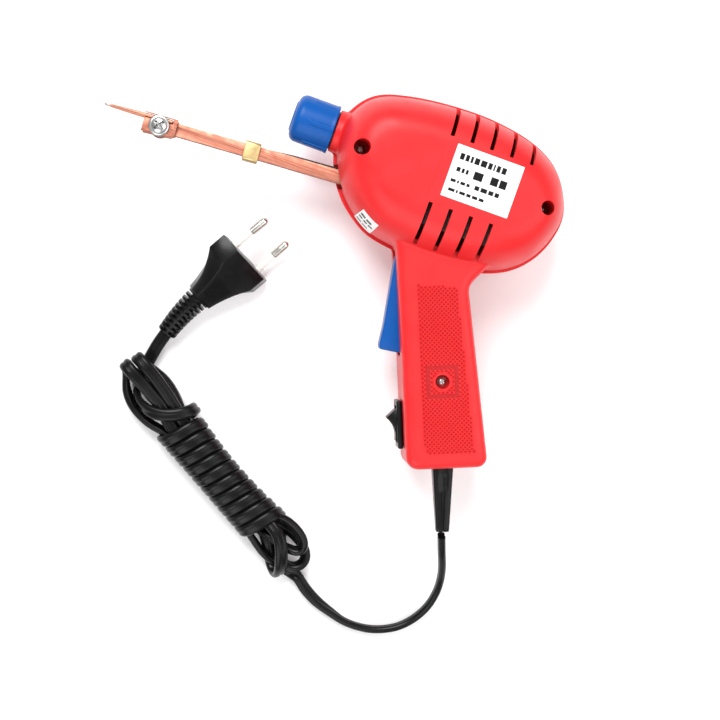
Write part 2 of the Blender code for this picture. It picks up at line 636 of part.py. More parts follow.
def power_switch(black, brass):
    turn = Matrix.Rotation(math.atan2(FRONT_OUT.y, FRONT_OUT.x), 3, "Z")
    frame = empty("power_switch_frame", ROCKER_CENTRE, turn)
    case = box("power_switch_case", (GAP, 2.6), (-FLANGE_HALF[0], FLANGE_HALF[0]), (-7.5, 7.5), black, frame)
    soften(case, 0.6)
    half_y, half_z = CASE_HALF
    rear = box("switch_rear", (-13.0, 1.0), (-half_y, half_y), (-half_z, half_z), black, frame)
    combine(case, "UNION", [rear])
    well = box("switch_well", (-9.0, 6.0), (-8.5, 8.5), (-5.2, 5.2), black, frame)
    combine(case, "DIFFERENCE", [well])

    pivot = empty("power_rocker_pivot", (ROCKER_PIVOT, 0.0, 0.0), Matrix.Rotation(ROCKER_TILT, 3, "Z"), frame)
    tip_x, tip_y = ROCKER_TIP
    steps = 6
    heights = [tip_y * (2.0 * step / steps - 1.0) for step in range(steps + 1)]
    face = [(tip_x - ROCKER_DIP * (1.0 - (y / tip_y) ** 2), y) for y in heights]
    outline = [(-4.0, -5.2), (1.1, -7.8)] + face + [(1.1, 7.8), (-4.0, 5.2)]
    rocker = prism("power_switch_rocker", outline, -4.8, 4.8, black, pivot)
    soften(rocker, 0.4)
    for i, y in enumerate((-4.6, 4.6)):
        box(f"power_switch_terminal_{i + 1}", (-19.0, -13.3), (y - 0.4, y + 0.4), (-2.4, 2.4), brass, frame)


def relief_frame(name):
    return empty(name, RELIEF_ORIGIN, Matrix.Rotation(math.atan2(RELIEF_DOWN.y, RELIEF_DOWN.x), 3, "Z"))


def cord_exit(rubber, steel, plastic):
    frame = relief_frame("relief_frame")

    def square(x, half):
        corner = half * 0.35
        signs = ((-1.0, -1.0), (1.0, -1.0), (1.0, 1.0), (-1.0, 1.0))
        return [(x, y, z) for y, z in rounded([(a * half, b * half, corner) for a, b in signs], 2)]

    profile = [
        (-4.8, 5.8), (-3.0, 5.8), (-3.0, 4.2), (0.5, 4.2), (0.5, 4.7), (RELIEF_LENGTH, 2.95),
    ]
    loft("strain_relief", [square(x, half) for x, half in profile], rubber, frame)

    flat = rounded([(-3.0, -1.8, 1.7), (3.0, -1.8, 1.7), (3.0, 1.8, 1.7), (-3.0, 1.8, 1.7)], 3)
    loft("cord_inner", [[(x, y, z) for y, z in flat] for x in (-13.5, -5.1)], rubber, frame)
    bar = box("cord_clamp", (CLAMP_X - 1.6, CLAMP_X + 1.6), (-8.6, 8.6), (2.2, 4.0), plastic, frame)
    holes = []
    for i, y in enumerate((-CLAMP_SCREW_Y, CLAMP_SCREW_Y)):
        holes.append(post(f"clamp_hole_{i}", CLAMP_X, y, 1.45, 0.0, 6.0, plastic, frame, sides=16))
        screw(f"cord_clamp_screw_{i + 1}", (CLAMP_X, y, 4.3), (1.9, 1.3), (1.15, 16.0), steel, frame)
    combine(bar, "DIFFERENCE", holes)


def wires(colours):
    """Single wires: cord to power switch, power switch to trigger switch, and cord to the coil."""
    routes = {
        "wire_cord_to_switch": [
            (34.2, -106.6, 30.9), (34.6, -102.6, 34.5), (33.6, -98.6, 33.4), (31.9, -97.2, 30.4),
        ],
        "wire_switch_to_trigger": [
            (36.6, -104.6, 28.2), (38.0, -96.0, 24.0), (33.0, -82.0, 22.0), (25.0, -68.0, 24.0),
            (21.0, -59.0, 27.0), (18.0, -56.2, 29.0),
        ],
        "wire_cord_to_coil": [
            (32.9, -105.9, 34.8), (37.0, -98.0, 38.6), (33.0, -84.0, 39.6), (26.0, -66.0, 39.0),
            (18.0, -46.0, 38.0), (18.0, -34.0, 37.0), (29.0, -26.0, 35.5), (29.6, -20.0, 34.5),
            (29.4, -15.0, 34.0),
        ],
    }
    ring = circle(0.0, 0.0, 0.8, 6)
    for name, route in routes.items():
        tube(name, spline(route, 4), lambda i: ring, colours[name])


def cord_curve(name, route, surface):
    """A round cord as a curve with filled ends, its points read from a smooth curve through the route."""
    points = spline(route, 3)
    curve = bpy.data.curves.new(name, "CURVE")
    curve.dimensions = "3D"
    line = curve.splines.new("POLY")
    line.points.add(len(points) - 1)
    for target, point in zip(line.points, points):
        target.co = (*(point * MM), 1.0)
    curve.bevel_depth = CORD_RADIUS * MM
    curve.bevel_resolution = 2
    curve.use_fill_caps = True
    curve.materials.append(surface)
    result = bpy.data.objects.new(name, curve)
    bpy.context.scene.collection.objects.link(result)
    return result


def cord(rubber):
    cord_curve("cord_lead", CORD_LEAD, rubber)
    cord_curve("cord_tail", CORD_TAIL, rubber)
    start, end = Vector(HANK_START), Vector(HANK_END)
    along = (end - start).normalized()
    across = Vector((-along.y, along.x))
    radius = HANK_WIDTH / 2.0
    outline = []
    for centre, first in ((start + along * radius, math.pi / 2.0), (end - along * radius, -math.pi / 2.0)):
        for step in range(11):
            angle = first + math.pi * step / 10
            reach = along * math.cos(angle) + across * math.sin(angle)
            outline.append(tuple(centre + reach * radius))
    soften(prism("cord_hank", outline, 0.0, HANK_HEIGHT, rubber), 3.0)


def plug(rubber, metal, sleeve):
    level = PLUG_HEADING * math.cos(PLUG_TILT) + Vector((0.0, 0.0, math.sin(PLUG_TILT)))
    flat = Vector((-PLUG_HEADING.y, PLUG_HEADING.x, 0.0))
    rise = level.cross(flat)
    width = flat * math.cos(PLUG_ROLL) + rise * math.sin(PLUG_ROLL)
    thick = level.cross(width)
    turn = Matrix((level, width, thick)).transposed()
    frame = empty("plug_frame", PLUG_FRONT, turn)

    def section(x, ridge, top, half):
        upper = [(x, ridge, 0.0), (x, top, half), (x, -top, half)]
        return upper + [(x, -y, -z) for x, y, z in upper]

    stations = [
        (0.0, 17.6, 10.8, 6.85), (-8.3, 17.6, 10.8, 6.85), (-11.5, 14.6, 9.2, 6.6), (-15.0, 11.9, 7.8, 6.2),
        (-19.0, 9.3, 6.6, 5.8), (-23.5, 7.3, 5.6, 5.3), (-PLUG_BODY_LENGTH, 6.2, 5.0, 4.8),
    ]
    loft("plug_body", [section(*station) for station in stations], rubber, frame)

    back = PLUG_FRONT - level * (PLUG_BODY_LENGTH + GAP)
    bend = back - level * 10.0
    steps = 34
    path = []
    for i in range(steps + 1):
        t = i / steps
        path.append(back * (1.0 - t) ** 2 + bend * 2.0 * t * (1.0 - t) + RELIEF_END * t * t)

    def ribbed(i):
        t = i / steps
        rib = 1.0 if i % 4 in (0, 1) else 0.66
        half_wide, half_high = 6.0 - 1.3 * t, 4.9 - 0.1 * t
        return [(a * half_wide * rib, b * half_high * rib) for a, b in circle(0.0, 0.0, 1.0, 12)]

    tube("plug_relief", path, ribbed, rubber)

    for i, sign in enumerate((1.0, -1.0)):
        root = Vector((GAP, sign * PIN_SPACING / 2.0, 0.0))
        tip = Vector((19.0, sign * PIN_TIP_SPACING / 2.0, 0.0))
        heading = (tip - root).normalized()
        angle = math.atan2(heading.y, heading.x)
        pin_frame = empty(f"pin_frame_{i}", root, Matrix.Rotation(angle, 3, "Z"), frame)
        sleeve_profile = [(0.0, 1.55), (0.0, 1.95), (9.7, 1.95), (9.7, 1.55)]
        turned(f"plug_pin_sleeve_{i + 1}", sleeve_profile[::-1], sleeve, pin_frame, hollow=True, sides=16)
        pin = [(0.0, 1.25), (10.0, 1.25), (10.0, 2.0), (17.6, 2.0), (18.4, 1.5), (18.8, 0.6)]
        turned(f"plug_pin_{i + 1}", pin, metal, pin_frame, sides=16)


def main():
    clear_scene()
    red = material("red_plastic", (0.78, 0.02, 0.025), 0.35)
    blue = material("blue_plastic", (0.015, 0.12, 0.62), 0.35)
    black = material("black_plastic", (0.015, 0.015, 0.016), 0.4)
    rubber = material("black_pvc", (0.012, 0.012, 0.013), 0.45)
    copper = material("copper", (0.85, 0.42, 0.28), 0.35, 1.0)
    brass = material("brass", (0.75, 0.62, 0.28), 0.35, 1.0)
    steel = material("steel", (0.72, 0.73, 0.75), 0.3, 1.0)
    core_steel = material("core_steel", (0.12, 0.11, 0.11), 0.6, 0.8)
    enamel = material("winding_enamel", (0.45, 0.14, 0.05), 0.4)
    nylon = material("nylon", (0.75, 0.73, 0.65), 0.5)
    fibre = material("fibre", (0.05, 0.03, 0.025), 0.7)
    glass = material("glass", (0.9, 0.95, 0.95), 0.05)
    paper = material("label_paper", (0.85, 0.85, 0.84), 0.5)
    sleeve = material("sleeve", (0.75, 0.70, 0.62), 0.4)
    cover("upper_cover", 1, red)
    cover("lower_cover", -1, red)
    for label, (x, y, _, seat) in WELLS.items():
        place = (x, y, seat + GAP)
        screw(f"housing_screw_{label}", place, (2.6, 2.0), (SHANK_RADIUS, seat + GAP - SCREW_FOOT), steel)
    stickers(paper)
    lamp(blue, glass, brass, black)
    arms(copper, brass, fibre, steel)
    transformer(core_steel, enamel, nylon)
    trigger(blue, steel, black)
    power_switch(black, brass)
    cord_exit(rubber, steel, black)
    brown = material("brown_wire", (0.2, 0.07, 0.03), 0.4)
    wires({"wire_cord_to_switch": brown, "wire_switch_to_trigger": brown, "wire_cord_to_coil": blue})
    cord(rubber)
    plug(rubber, steel, sleeve)


main()
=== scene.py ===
"""Looks of the soldering gun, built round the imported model. Lengths are millimetres until a mesh is made."""

import json
import math

import bmesh
import bpy
import numpy as np
from mathutils import Matrix, Vector


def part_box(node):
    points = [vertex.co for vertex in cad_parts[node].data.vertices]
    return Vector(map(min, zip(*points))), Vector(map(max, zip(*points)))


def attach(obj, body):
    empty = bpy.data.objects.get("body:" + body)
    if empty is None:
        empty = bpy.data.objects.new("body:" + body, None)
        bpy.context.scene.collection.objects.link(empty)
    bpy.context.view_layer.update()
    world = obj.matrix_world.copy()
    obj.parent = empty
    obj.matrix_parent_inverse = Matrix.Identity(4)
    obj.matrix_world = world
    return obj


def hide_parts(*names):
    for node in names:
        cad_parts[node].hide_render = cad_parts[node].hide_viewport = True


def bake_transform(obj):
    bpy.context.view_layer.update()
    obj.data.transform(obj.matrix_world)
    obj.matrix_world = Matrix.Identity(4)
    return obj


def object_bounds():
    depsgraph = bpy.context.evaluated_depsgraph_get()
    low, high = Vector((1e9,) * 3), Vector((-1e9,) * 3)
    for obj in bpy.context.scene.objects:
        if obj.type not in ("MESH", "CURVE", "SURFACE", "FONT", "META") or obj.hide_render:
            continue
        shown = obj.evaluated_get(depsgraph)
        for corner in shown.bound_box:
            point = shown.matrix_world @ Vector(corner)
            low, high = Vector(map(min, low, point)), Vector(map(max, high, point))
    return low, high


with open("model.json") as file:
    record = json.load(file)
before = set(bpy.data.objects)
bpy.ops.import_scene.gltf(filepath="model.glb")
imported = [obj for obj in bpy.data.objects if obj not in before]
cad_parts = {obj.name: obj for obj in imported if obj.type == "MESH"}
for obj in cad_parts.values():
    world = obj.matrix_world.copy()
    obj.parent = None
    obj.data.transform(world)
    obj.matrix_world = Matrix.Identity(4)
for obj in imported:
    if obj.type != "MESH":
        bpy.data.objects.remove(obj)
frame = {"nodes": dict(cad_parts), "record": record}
CAD_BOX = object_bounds()
MM = 0.001

# The gap left between pieces, the seam's height, the covers' wall, and a height past every cover.
GAP = 0.3
SEAM = 30.0
WALL = 2.4
PAST_COVER = SEAM + 1.0

# Camera, nearly straight down on the gun: its place in metres, its turn in degrees and its lens in millimetres.
CAMERA_PLACE = (-0.068602, -0.076581, 0.830934)
CAMERA_TURN = (-2.234, -3.538, 19.525)
CAMERA_LENS = 89.337

# Lights as name, place and size in metres, and power; what they aim at; and the light from all round.
LAMPS = [
    ("key", (-0.5, 0.6, 1.1), 0.8, 19.0), ("fill", (0.7, 0.0, 1.0), 1.2, 7.0),
    ("front", (-0.1, -0.9, 0.8), 1.0, 6.5),
]
LAMP_TARGET = Vector((-0.05, -0.08, 0.0))
WORLD_LIGHT = 0.4
FLOOR_HALF = 3000.0
FLOOR_GLOW = 0.06

# Finishes of the plain mouldings: colour, roughness, grain, darkest and palest shade, and specular level.
RED = (0.70, 0.018, 0.021)
PLASTICS = {
    "red_plastic": (RED, 0.38, 0.010, 0.9, 1.08, 0.27),
    "blue_plastic": ((0.001, 0.078, 0.335), 0.36, 0.010, 0.78, 1.12, 0.2),
    "black_plastic": ((0.0045, 0.0045, 0.005), 0.34, 0.014, 0.78, 1.12, 0.2),
    "nylon": ((0.42, 0.38, 0.30), 0.42),
    "sleeve": ((0.76, 0.74, 0.69), 0.36, 0.006),
    "brown_wire": ((0.13, 0.05, 0.025), 0.4, 0.006),
    "blue_wire": ((0.02, 0.08, 0.3), 0.4, 0.006),
}

# Body and handle, as in the CAD model.
BODY_CENTRE = (-1.0, -2.0)
BODY_OUTLINE = [
    (52.3, -1.3), (48.7, 11.2), (40.3, 21.4), (27.2, 27.6), (8.5, 30.6), (-10.5, 30.4),
    (-28.9, 28.0), (-43.0, 23.5), (-51.0, 14.7), (-53.6, 3.5), (-51.0, -9.5), (-45.0, -20.5),
    (-35.5, -29.5), (-23.5, -35.3), (-2.0, -37.2), (20.0, -34.9), (37.0, -28.8), (47.8, -17.1),
]
DOME_POWER = 2.3
DOME_FLAT = 0.42
RIDGE = 0.45
LOWER_LIP = 1.4
SKIRT = 3.0
HANDLE_HALF = 18.0
HANDLE_FILLET = 4.0
HANDLE_CORNERS = [
    (-17.5, -15.0, 0.0), (-17.5, -27.0, 6.0), (-15.3, -35.0, 8.0), (-12.2, -41.0, 6.0),
    (23.3, -128.6, 5.5), (57.2, -115.2, 4.5), (21.9, -42.5, 7.0), (30.0, -26.0, 0.0), (30.0, -15.0, 0.0),
]
FRONT_TOP = Vector((-11.0, -43.9, 0.0))
FRONT_DOWN = Vector((0.375, -0.927, 0.0)).normalized()
FRONT_OUT = Vector((FRONT_DOWN.y, -FRONT_DOWN.x, 0.0))
WELLS = {
    "front": (-43.3, -1.7, 3.6, 40.0),
    "rear": (41.7, 0.6, 3.2, 40.0),
    "handle": (24.9, -86.3, 3.2, 43.2),
}
WELL_WALL = 1.6
SCREW_FOOT = 16.0
SHANK_RADIUS = 1.5
UPPER_VENTS = [-8.2, 0.85, 9.9, 19.2, 28.7]
LOWER_VENTS = [-7.4, 1.9, 11.2, 20.5]
UPPER_VENT_Y = (15.6, 40.0)
LOWER_VENT_Y = (-33.2, -14.4)
UPPER_VENT_START = 7.0
LOWER_VENT_START = 18.4
VENT_WIDTH = 1.9
VENT_END = 36.0
PARTING_LINES = [-10.3, -9.4]
PARTING_LINE_HALF = 0.12
CORE_HALF = 22.0
CORE_RESTS_X = (-3.5, 16.0)
CORE_REST_THICK = 1.6
PIN_BOSS_RADIUS = 3.4
CLAMP_POST_RADIUS = 2.6
CLAMP_HOLE_RADIUS = 1.5
SPRING_POST_RADIUS = 2.4
VOXEL = 0.6

# Openings in the covers. A slot in the handle's front edge is where it starts and ends down that edge, and how
# far it reaches outside and inside.
ARM_WINDOW_X = (-62.0, -43.5)
ARM_WINDOW_Y = (-20.5, -10.6)
ARM_WINDOW_HALF = 7.0
TRIGGER_SLOT = (-6.6, 40.9, 8.0, 3.4)
SWITCH_SLOT = (62.0, 81.3, 4.0, 4.0)
SLOT_HALF = 6.5
RELIEF_SLOT_X = (-4.6, 4.0)
RELIEF_SLOT_HALF = 4.6

# Hatched panel on the handle: its corners; the width and length of its diamonds and how far the ridges rise;
# how far towards the edge each ridge and floor reach; and the square round the screw, where ridges are low.
PANEL = [(-0.3, -49.9), (16.8, -45.0), (48.6, -110.9), (28.5, -118.5)]
DIAMOND = (1.95, 1.95)
DIAMOND_RISE = 0.42
DIAMOND_RIDGE = 0.78
DIAMOND_FLOOR = 0.45
DIAMOND_FLOOR_RISE = 0.02
DIAMOND_COUNT = 60
PANEL_ROOT = 0.5
SQUARE_HALF = 6.6
SQUARE_BAND = 0.45
SQUARE_RISE = 0.06

# Labels: rows of bars as height up the label, bar height, start and bar lengths; where the small label lies.
LABEL_ROWS = [
    (17.4, 2.8, 2.6, (1.9, 1.6, 1.1, 2.2, 2.6, 1.8, 0.7, 1.7, 2.0)), (12.0, 2.0, 2.9, (1.7, 1.2, 1.1)),
    (11.0, 3.6, 10.9, (4.1,)), (11.2, 3.6, 18.6, (3.4, 3.2)), (7.1, 1.3, 2.0, (2.3, 0.8, 2.1, 1.4)),
    (6.9, 1.9, 13.0, (2.1, 2.9, 2.2, 1.9)), (3.0, 1.3, 2.3, (2.9, 0.8, 2.6, 1.9, 2.4, 2.2)),
]
LABEL_STEPS = 16
SMALL_LABEL_SPAN = (12.0, 12.82)
SMALL_LABEL_RISE = math.radians(38.0)
SMALL_LABEL_ROWS = (3, 6, 8)
SMALL_LABEL_BARS = [[(0.1, 0.4), (0.5, 0.75)], [(0.1, 0.3), (0.4, 0.62), (0.7, 0.9)]]

# Lamp cap, its axis along X.
LAMP_Y = 3.4
LAMP_FRAME = Matrix.Translation((0.0, LAMP_Y, SEAM))
COLLAR_RADIUS = 9.7
SOCKET_RADIUS = 8.6
CAP_RADIUS = 10.8
CAP_RIBS = 6
RIB_HALF = 0.95
RIB_RISE = 0.4
RIB_TURN = math.radians(6.0)
SHOULDER = 3.6
CAP_SIDES = 300

# Arms, with their own frame.
ARM_ORIGIN = Vector((-50.0, -15.7, SEAM))
ARM_SLOPE = math.radians(3.67)
ARM_FRAME = Matrix.Translation(ARM_ORIGIN) @ Matrix.Rotation(ARM_SLOPE, 4, "Z")
BAR_WIDTH = 5.6
BAR_TOP = 4.2
TIP_WIRE_Y = 2.5
TIP_WIRE_RADIUS = 0.85
TIP_SCREW = (-80.3, -0.6)
PLATE_THICK = 2.0

# Screw heads and shanks, as radius and height or length.
HOUSING_SCREW_HEAD = (2.6, 2.0)
HANDLE_SCREW_HEAD = (2.3, 2.0)
TIP_SCREW_HEAD = (4.65, 2.7)
TIP_SCREW_SHANK = (1.7, 4.6)

# Trigger, with its switch and return spring. The spring lies along the X axis of the switch's own frame.
PIVOT = Vector((-8.0, -41.5, SEAM))
SWITCH_CONTACT = Vector((2.75, -62.0, SEAM))
SWITCH_TURN = Matrix.Rotation(math.atan2(-FRONT_OUT.y, -FRONT_OUT.x), 3, "Z")
SPRING_Y = -13.5
SPRING_POST = SWITCH_CONTACT + SWITCH_TURN @ Vector((13.7, SPRING_Y, 0.0))
SPRING_SPAN = (1.0, 10.6)
SPRING_RADIUS = 1.9
SPRING_WIRE = 0.4
SPRING_COILS = 4
PIN_RADIUS = 1.5
PIN_HALF = 10.0

# Strain relief and cord clamp, with their own frame.
RELIEF_ORIGIN = Vector((39.5, -121.97, SEAM))
RELIEF_DOWN = Vector((0.334, -0.943, 0.0)).normalized()
RELIEF_FRAME = Matrix.Translation(RELIEF_ORIGIN) @ Matrix.Rotation(
    math.atan2(RELIEF_DOWN.y, RELIEF_DOWN.x), 4, "Z"
)
RELIEF_LENGTH = 30.0
CLAMP_X = -7.1
CLAMP_SCREW_Y = 6.2

# Plug, with its own frame: X out through the pins, Y across them.
PLUG_FRONT = Vector((-75.1, -63.2, 12.7))
PLUG_HEADING = Vector((0.504, 0.864, 0.0)).normalized()
PLUG_TILT = math.radians(4.7)
PLUG_ROLL = math.radians(36.0)
PLUG_BODY_LENGTH = 28.0
PLUG_LEVEL = PLUG_HEADING * math.cos(PLUG_TILT) + Vector((0.0, 0.0, math.sin(PLUG_TILT)))
RELIEF_END = Vector((-97.7, -106.7, 5.9))
RELIEF_RIBS = 9
PAD_RIBS = 10
PAD_PITCH = 0.95
PAD_START = -15.6
PAD_HALF = (6.2, 5.3)
PIN_SPACING = 18.6
PIN_TIP_SPACING = 17.4

# Flat twin cord, and its route outside the hank. CORD_LENGTH is what the cord is declared as, in metres.
# The route drawn here measures about 1.51 metres.
CORD_WIDTH = 6.0
CORD_THICK = 3.4
CORD_GROOVE = (0.28, 0.3)
CORD_STEP = 1.4
LEAD_FLAT_FROM = 9
LEAD_FLAT_MOST = 0.6
CORD_LEAD = [
    (50.0, -152.3, 29.6), (53.2, -159.6, 25.2), (56.1, -165.5, 20.0), (58.5, -172.1, 14.2),
    (59.5, -179.7, 9.4),
    (58.2, -188.4, 5.6), (53.9, -196.5, 3.6), (47.1, -202.8, 3.2), (36.9, -207.0, 3.2), (25.3, -207.7, 3.2),
    (16.5, -205.4, 3.2), (8.7, -202.7, 3.2), (1.8, -198.9, 3.2), (-3.4, -194.8, 3.2),
]
CORD_TAIL = [(-100.5, -117.0, 4.6), (-99.8, -113.6, 5.0), (-98.8, -110.0, 5.3), (-97.9, -107.2, 5.6)]

# The hank, in its own frame: along its axis from its upper left end, across it, and up.
HANK_START = Vector((-111.5, -126.9, 0.0))
HANK_END = Vector((-0.8, -190.8, 0.0))
HANK_ALONG = (HANK_END - HANK_START).normalized()
HANK_ACROSS = Vector((-HANK_ALONG.y, HANK_ALONG.x, 0.0))
WRAPS = 9.62
WRAP_FIRST = 38.2
WRAP_PITCH = 6.05
WRAP_SLANT = 6.3
WRAP_HALF = (8.65, 7.4)
WRAP_MIDDLE = (-1.2, 9.35)
WRAP_WAIST = (1.1, 0.9)
WRAP_POWER = 2.7
UP = (0.0, 0.0, 1.0)
DOWN = (0.0, 0.0, -1.0)
LEFT = (0.0, -1.0, 0.0)
RIGHT = (0.0, 1.0, 0.0)


# ---------------------------------------------------------------- meshes

def linked(name, data):
    """A new object in the scene."""
    result = bpy.data.objects.new(name, data)
    bpy.context.scene.collection.objects.link(result)
    return result


def shade(mesh, sharp):
    """Smooth shading that keeps an edge sharp where its faces turn by more than the angle, in degrees."""
    mesh.shade_smooth()
    mesh.set_sharp_from_angle(angle=math.radians(sharp))


def add_mesh(name, points, faces, surface, sharp=35.0, place=None):
    """A mesh object from points in millimetres, moved by the place matrix, which is in millimetres too."""
    if place is not None:
        points = [place @ Vector(point) for point in points]
    mesh = bpy.data.meshes.new(name)
    mesh.from_pydata([tuple(value * MM for value in point) for point in points], [], faces)
    shape = bmesh.new()
    shape.from_mesh(mesh)
    bmesh.ops.recalc_face_normals(shape, faces=shape.faces)
    shape.to_mesh(mesh)
    shape.free()
    if surface is not None:
        mesh.materials.append(surface)
    shade(mesh, sharp)
    return linked(name, mesh)


def loft(name, rings, surface=None, sharp=35.0, hollow=False, place=None):
    """A closed solid through rings of equal length. A hollow one joins its last ring to its first."""
    count = len(rings[0])
    points = [point for ring in rings for point in ring]
    faces = []
    if not hollow:
        last = (len(rings) - 1) * count
        faces = [tuple(range(count)), tuple(range(last, last + count))]
    for ring in range(len(rings) - (0 if hollow else 1)):
        here = ring * count
        there = (ring + 1) % len(rings) * count
        for i in range(count):
            j = (i + 1) % count
            faces.append((here + i, here + j, there + j, there + i))
    return add_mesh(name, points, faces, surface, sharp, place)


def prism(name, outline, low, high, surface=None, place=None):
    return loft(name, [[(x, y, z) for x, y in outline] for z in (low, high)], surface, place=place)


def rectangle(x, y):
    return [(x[0], y[0]), (x[1], y[0]), (x[1], y[1]), (x[0], y[1])]


def box(name, x, y, z, surface=None, place=None):
    return prism(name, rectangle(x, y), z[0], z[1], surface, place)


def circle(x, y, radius, sides):
    angles = [2.0 * math.pi * i / sides for i in range(sides)]
    return [(x + radius * math.cos(angle), y + radius * math.sin(angle)) for angle in angles]


def post(name, x, y, radius, low, high, sides=40, place=None):
    return prism(name, circle(x, y, radius, sides), low, high, place=place)


def turned(name, profile, surface=None, hollow=False, sides=64, place=None, sharp=35.0):
    """A profile of (x, radius) points turned about the X axis."""
    rings = [[(x, y, z) for y, z in circle(0.0, 0.0, radius, sides)] for x, radius in profile]
    return loft(name, rings, surface, sharp, hollow, place)


def catmull(points, steps, closed=False):
    """Points on a Catmull-Rom curve through the rows of an array."""
    points = np.asarray(points, float)
    if closed:
        padded = np.vstack([points[-1], points, points[0], points[1]])
    else:
        padded = np.vstack([2.0 * points[0] - points[1], points, 2.0 * points[-1] - points[-2]])
    result = []
    for a, b, c, d in zip(padded, padded[1:], padded[2:], padded[3:]):
        for step in range(steps):
            t = step / steps
            bend = (2.0 * a - 5.0 * b + 4.0 * c - d) * t * t + (3.0 * b - a - 3.0 * c + d) * t ** 3
            result.append(0.5 * (2.0 * b + (c - a) * t + bend))
    if not closed:
        result.append(points[-1])
    return np.array(result)


def even_steps(rows, step):
    """The rows again at equal distances along the line that their first three columns draw."""
    gaps = np.linalg.norm(np.diff(rows[:, :3], axis=0), axis=1)
    along = np.concatenate([[0.0], np.cumsum(gaps)])
    places = np.linspace(0.0, along[-1], round(along[-1] / step) + 1)
    return np.stack([np.interp(places, along, column) for column in rows.T], axis=1)


def rounded(corners, steps=8):
    """An outline through (x, y, radius) corners, each one rounded by an arc."""
    result = []
    for i, (x, y, radius) in enumerate(corners):
        corner = Vector((x, y))
        if radius == 0.0:
            result.append(tuple(corner))
            continue
        before = (Vector(corners[i - 1][:2]) - corner).normalized()
        after = (Vector(corners[(i + 1) % len(corners)][:2]) - corner).normalized()
        half = before.angle(after) / 2.0
        middle = corner + (before + after).normalized() * radius / math.sin(half)
        start = corner + before * radius / math.tan(half) - middle
        end = corner + after * radius / math.tan(half) - middle
        sweep = start.angle_signed(end)
        for step in range(steps + 1):
            result.append(tuple(middle + Matrix.Rotation(-sweep * step / steps, 2) @ start))
    return result


def rounded_box(x, y, radius, steps=8):
    return rounded([(*corner, radius) for corner in rectangle(x, y)], steps)


def inset(outline, distance):
    """The outline moved inwards. It runs anticlockwise or clockwise, and stays the same way round."""
    area = sum(a[0] * b[1] - b[0] * a[1] for a, b in zip(outline, outline[1:] + outline[:1]))
    inward = math.copysign(1.0, area)
    result = []
    for i, point in enumerate(outline):
        before = (Vector(point) - Vector(outline[i - 1])).normalized()
        after = (Vector(outline[(i + 1) % len(outline)]) - Vector(point)).normalized()
        along = (before + after).normalized()
        stretch = max(along.dot(before), 0.5)
        normal = Vector((-along.y, along.x)) * inward
        result.append(tuple(Vector(point) + normal * distance / stretch))
    return result


def bake(obj, sharp=35.0):
    """Replaces the object's mesh by what its modifiers make of it."""
    bpy.context.view_layer.update()
    evaluated = obj.evaluated_get(bpy.context.evaluated_depsgraph_get())
    mesh = bpy.data.meshes.new_from_object(evaluated)
    obj.modifiers.clear()
    obj.data = mesh
    shade(mesh, sharp)
    return obj


def discard(objects):
    for obj in objects:
        bpy.data.objects.remove(obj, do_unlink=True)


def carve(target, operation, tools):
    """Adds or cuts the tools for good, and removes them."""
    for tool in tools:
        modifier = target.modifiers.new(tool.name, "BOOLEAN")
        modifier.operation = operation
        modifier.solver = "MANIFOLD"
        modifier.object = tool
    bake(target)
    discard(tools)
    return target


def joined(name, pieces):
    """One object made of separate closed shells."""
    shape = bmesh.new()
    for piece in pieces:
        shape.from_mesh(piece.data)
    mesh = bpy.data.meshes.new(name)
    shape.to_mesh(mesh)
    shape.free()
    discard(pieces)
    shade(mesh, 35.0)
    return linked(name, mesh)


def fuse(name, pieces, voxel, rounds):
    """One closed skin round all the pieces, its inner corners filled a little by rounds of smoothing."""
    result = joined(name, pieces)
    remesh = result.modifiers.new("skin", "REMESH")
    remesh.mode = "VOXEL"
    remesh.voxel_size = voxel * MM
    if rounds:
        smooth = result.modifiers.new("smooth", "SMOOTH")
        smooth.factor = 0.5
        smooth.iterations = rounds
    return bake(result)


def soften(obj, width, segments=3, angle=30.0):
    modifier = obj.modifiers.new("soft_edges", "BEVEL")
    modifier.width = width * MM
    modifier.segments = segments
    modifier.limit_method = "ANGLE"
    modifier.angle_limit = math.radians(angle)
    modifier.harden_normals = False
    return bake(obj, 50.0)


def stand_for(piece, body, slot, *nodes):
    """Says what a finished piece rides on, which slot it takes and which CAD nodes it replaces."""
    piece.data.materials.clear()
    piece.data.materials.append(MATERIALS[slot])
    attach(piece, body)
    if nodes:
        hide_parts(*nodes)
    return piece


def refined(node, body, slot, width, segments=2, angle=30.0):
    """A copy of a CAD node with its flat faces joined up and its edges rounded, in the node's place."""
    shape = bmesh.new()
    shape.from_mesh(frame["nodes"][node].data)
    bmesh.ops.remove_doubles(shape, verts=shape.verts, dist=1e-6)
    bmesh.ops.dissolve_limit(shape, angle_limit=math.radians(1.0), verts=shape.verts, edges=shape.edges)
    mesh = bpy.data.meshes.new(node + "_fine")
    shape.to_mesh(mesh)
    shape.free()
    piece = linked(node + "_fine", mesh)
    soften(piece, width, segments, angle)
    return stand_for(piece, body, slot, node)


# ---------------------------------------------------------------- materials

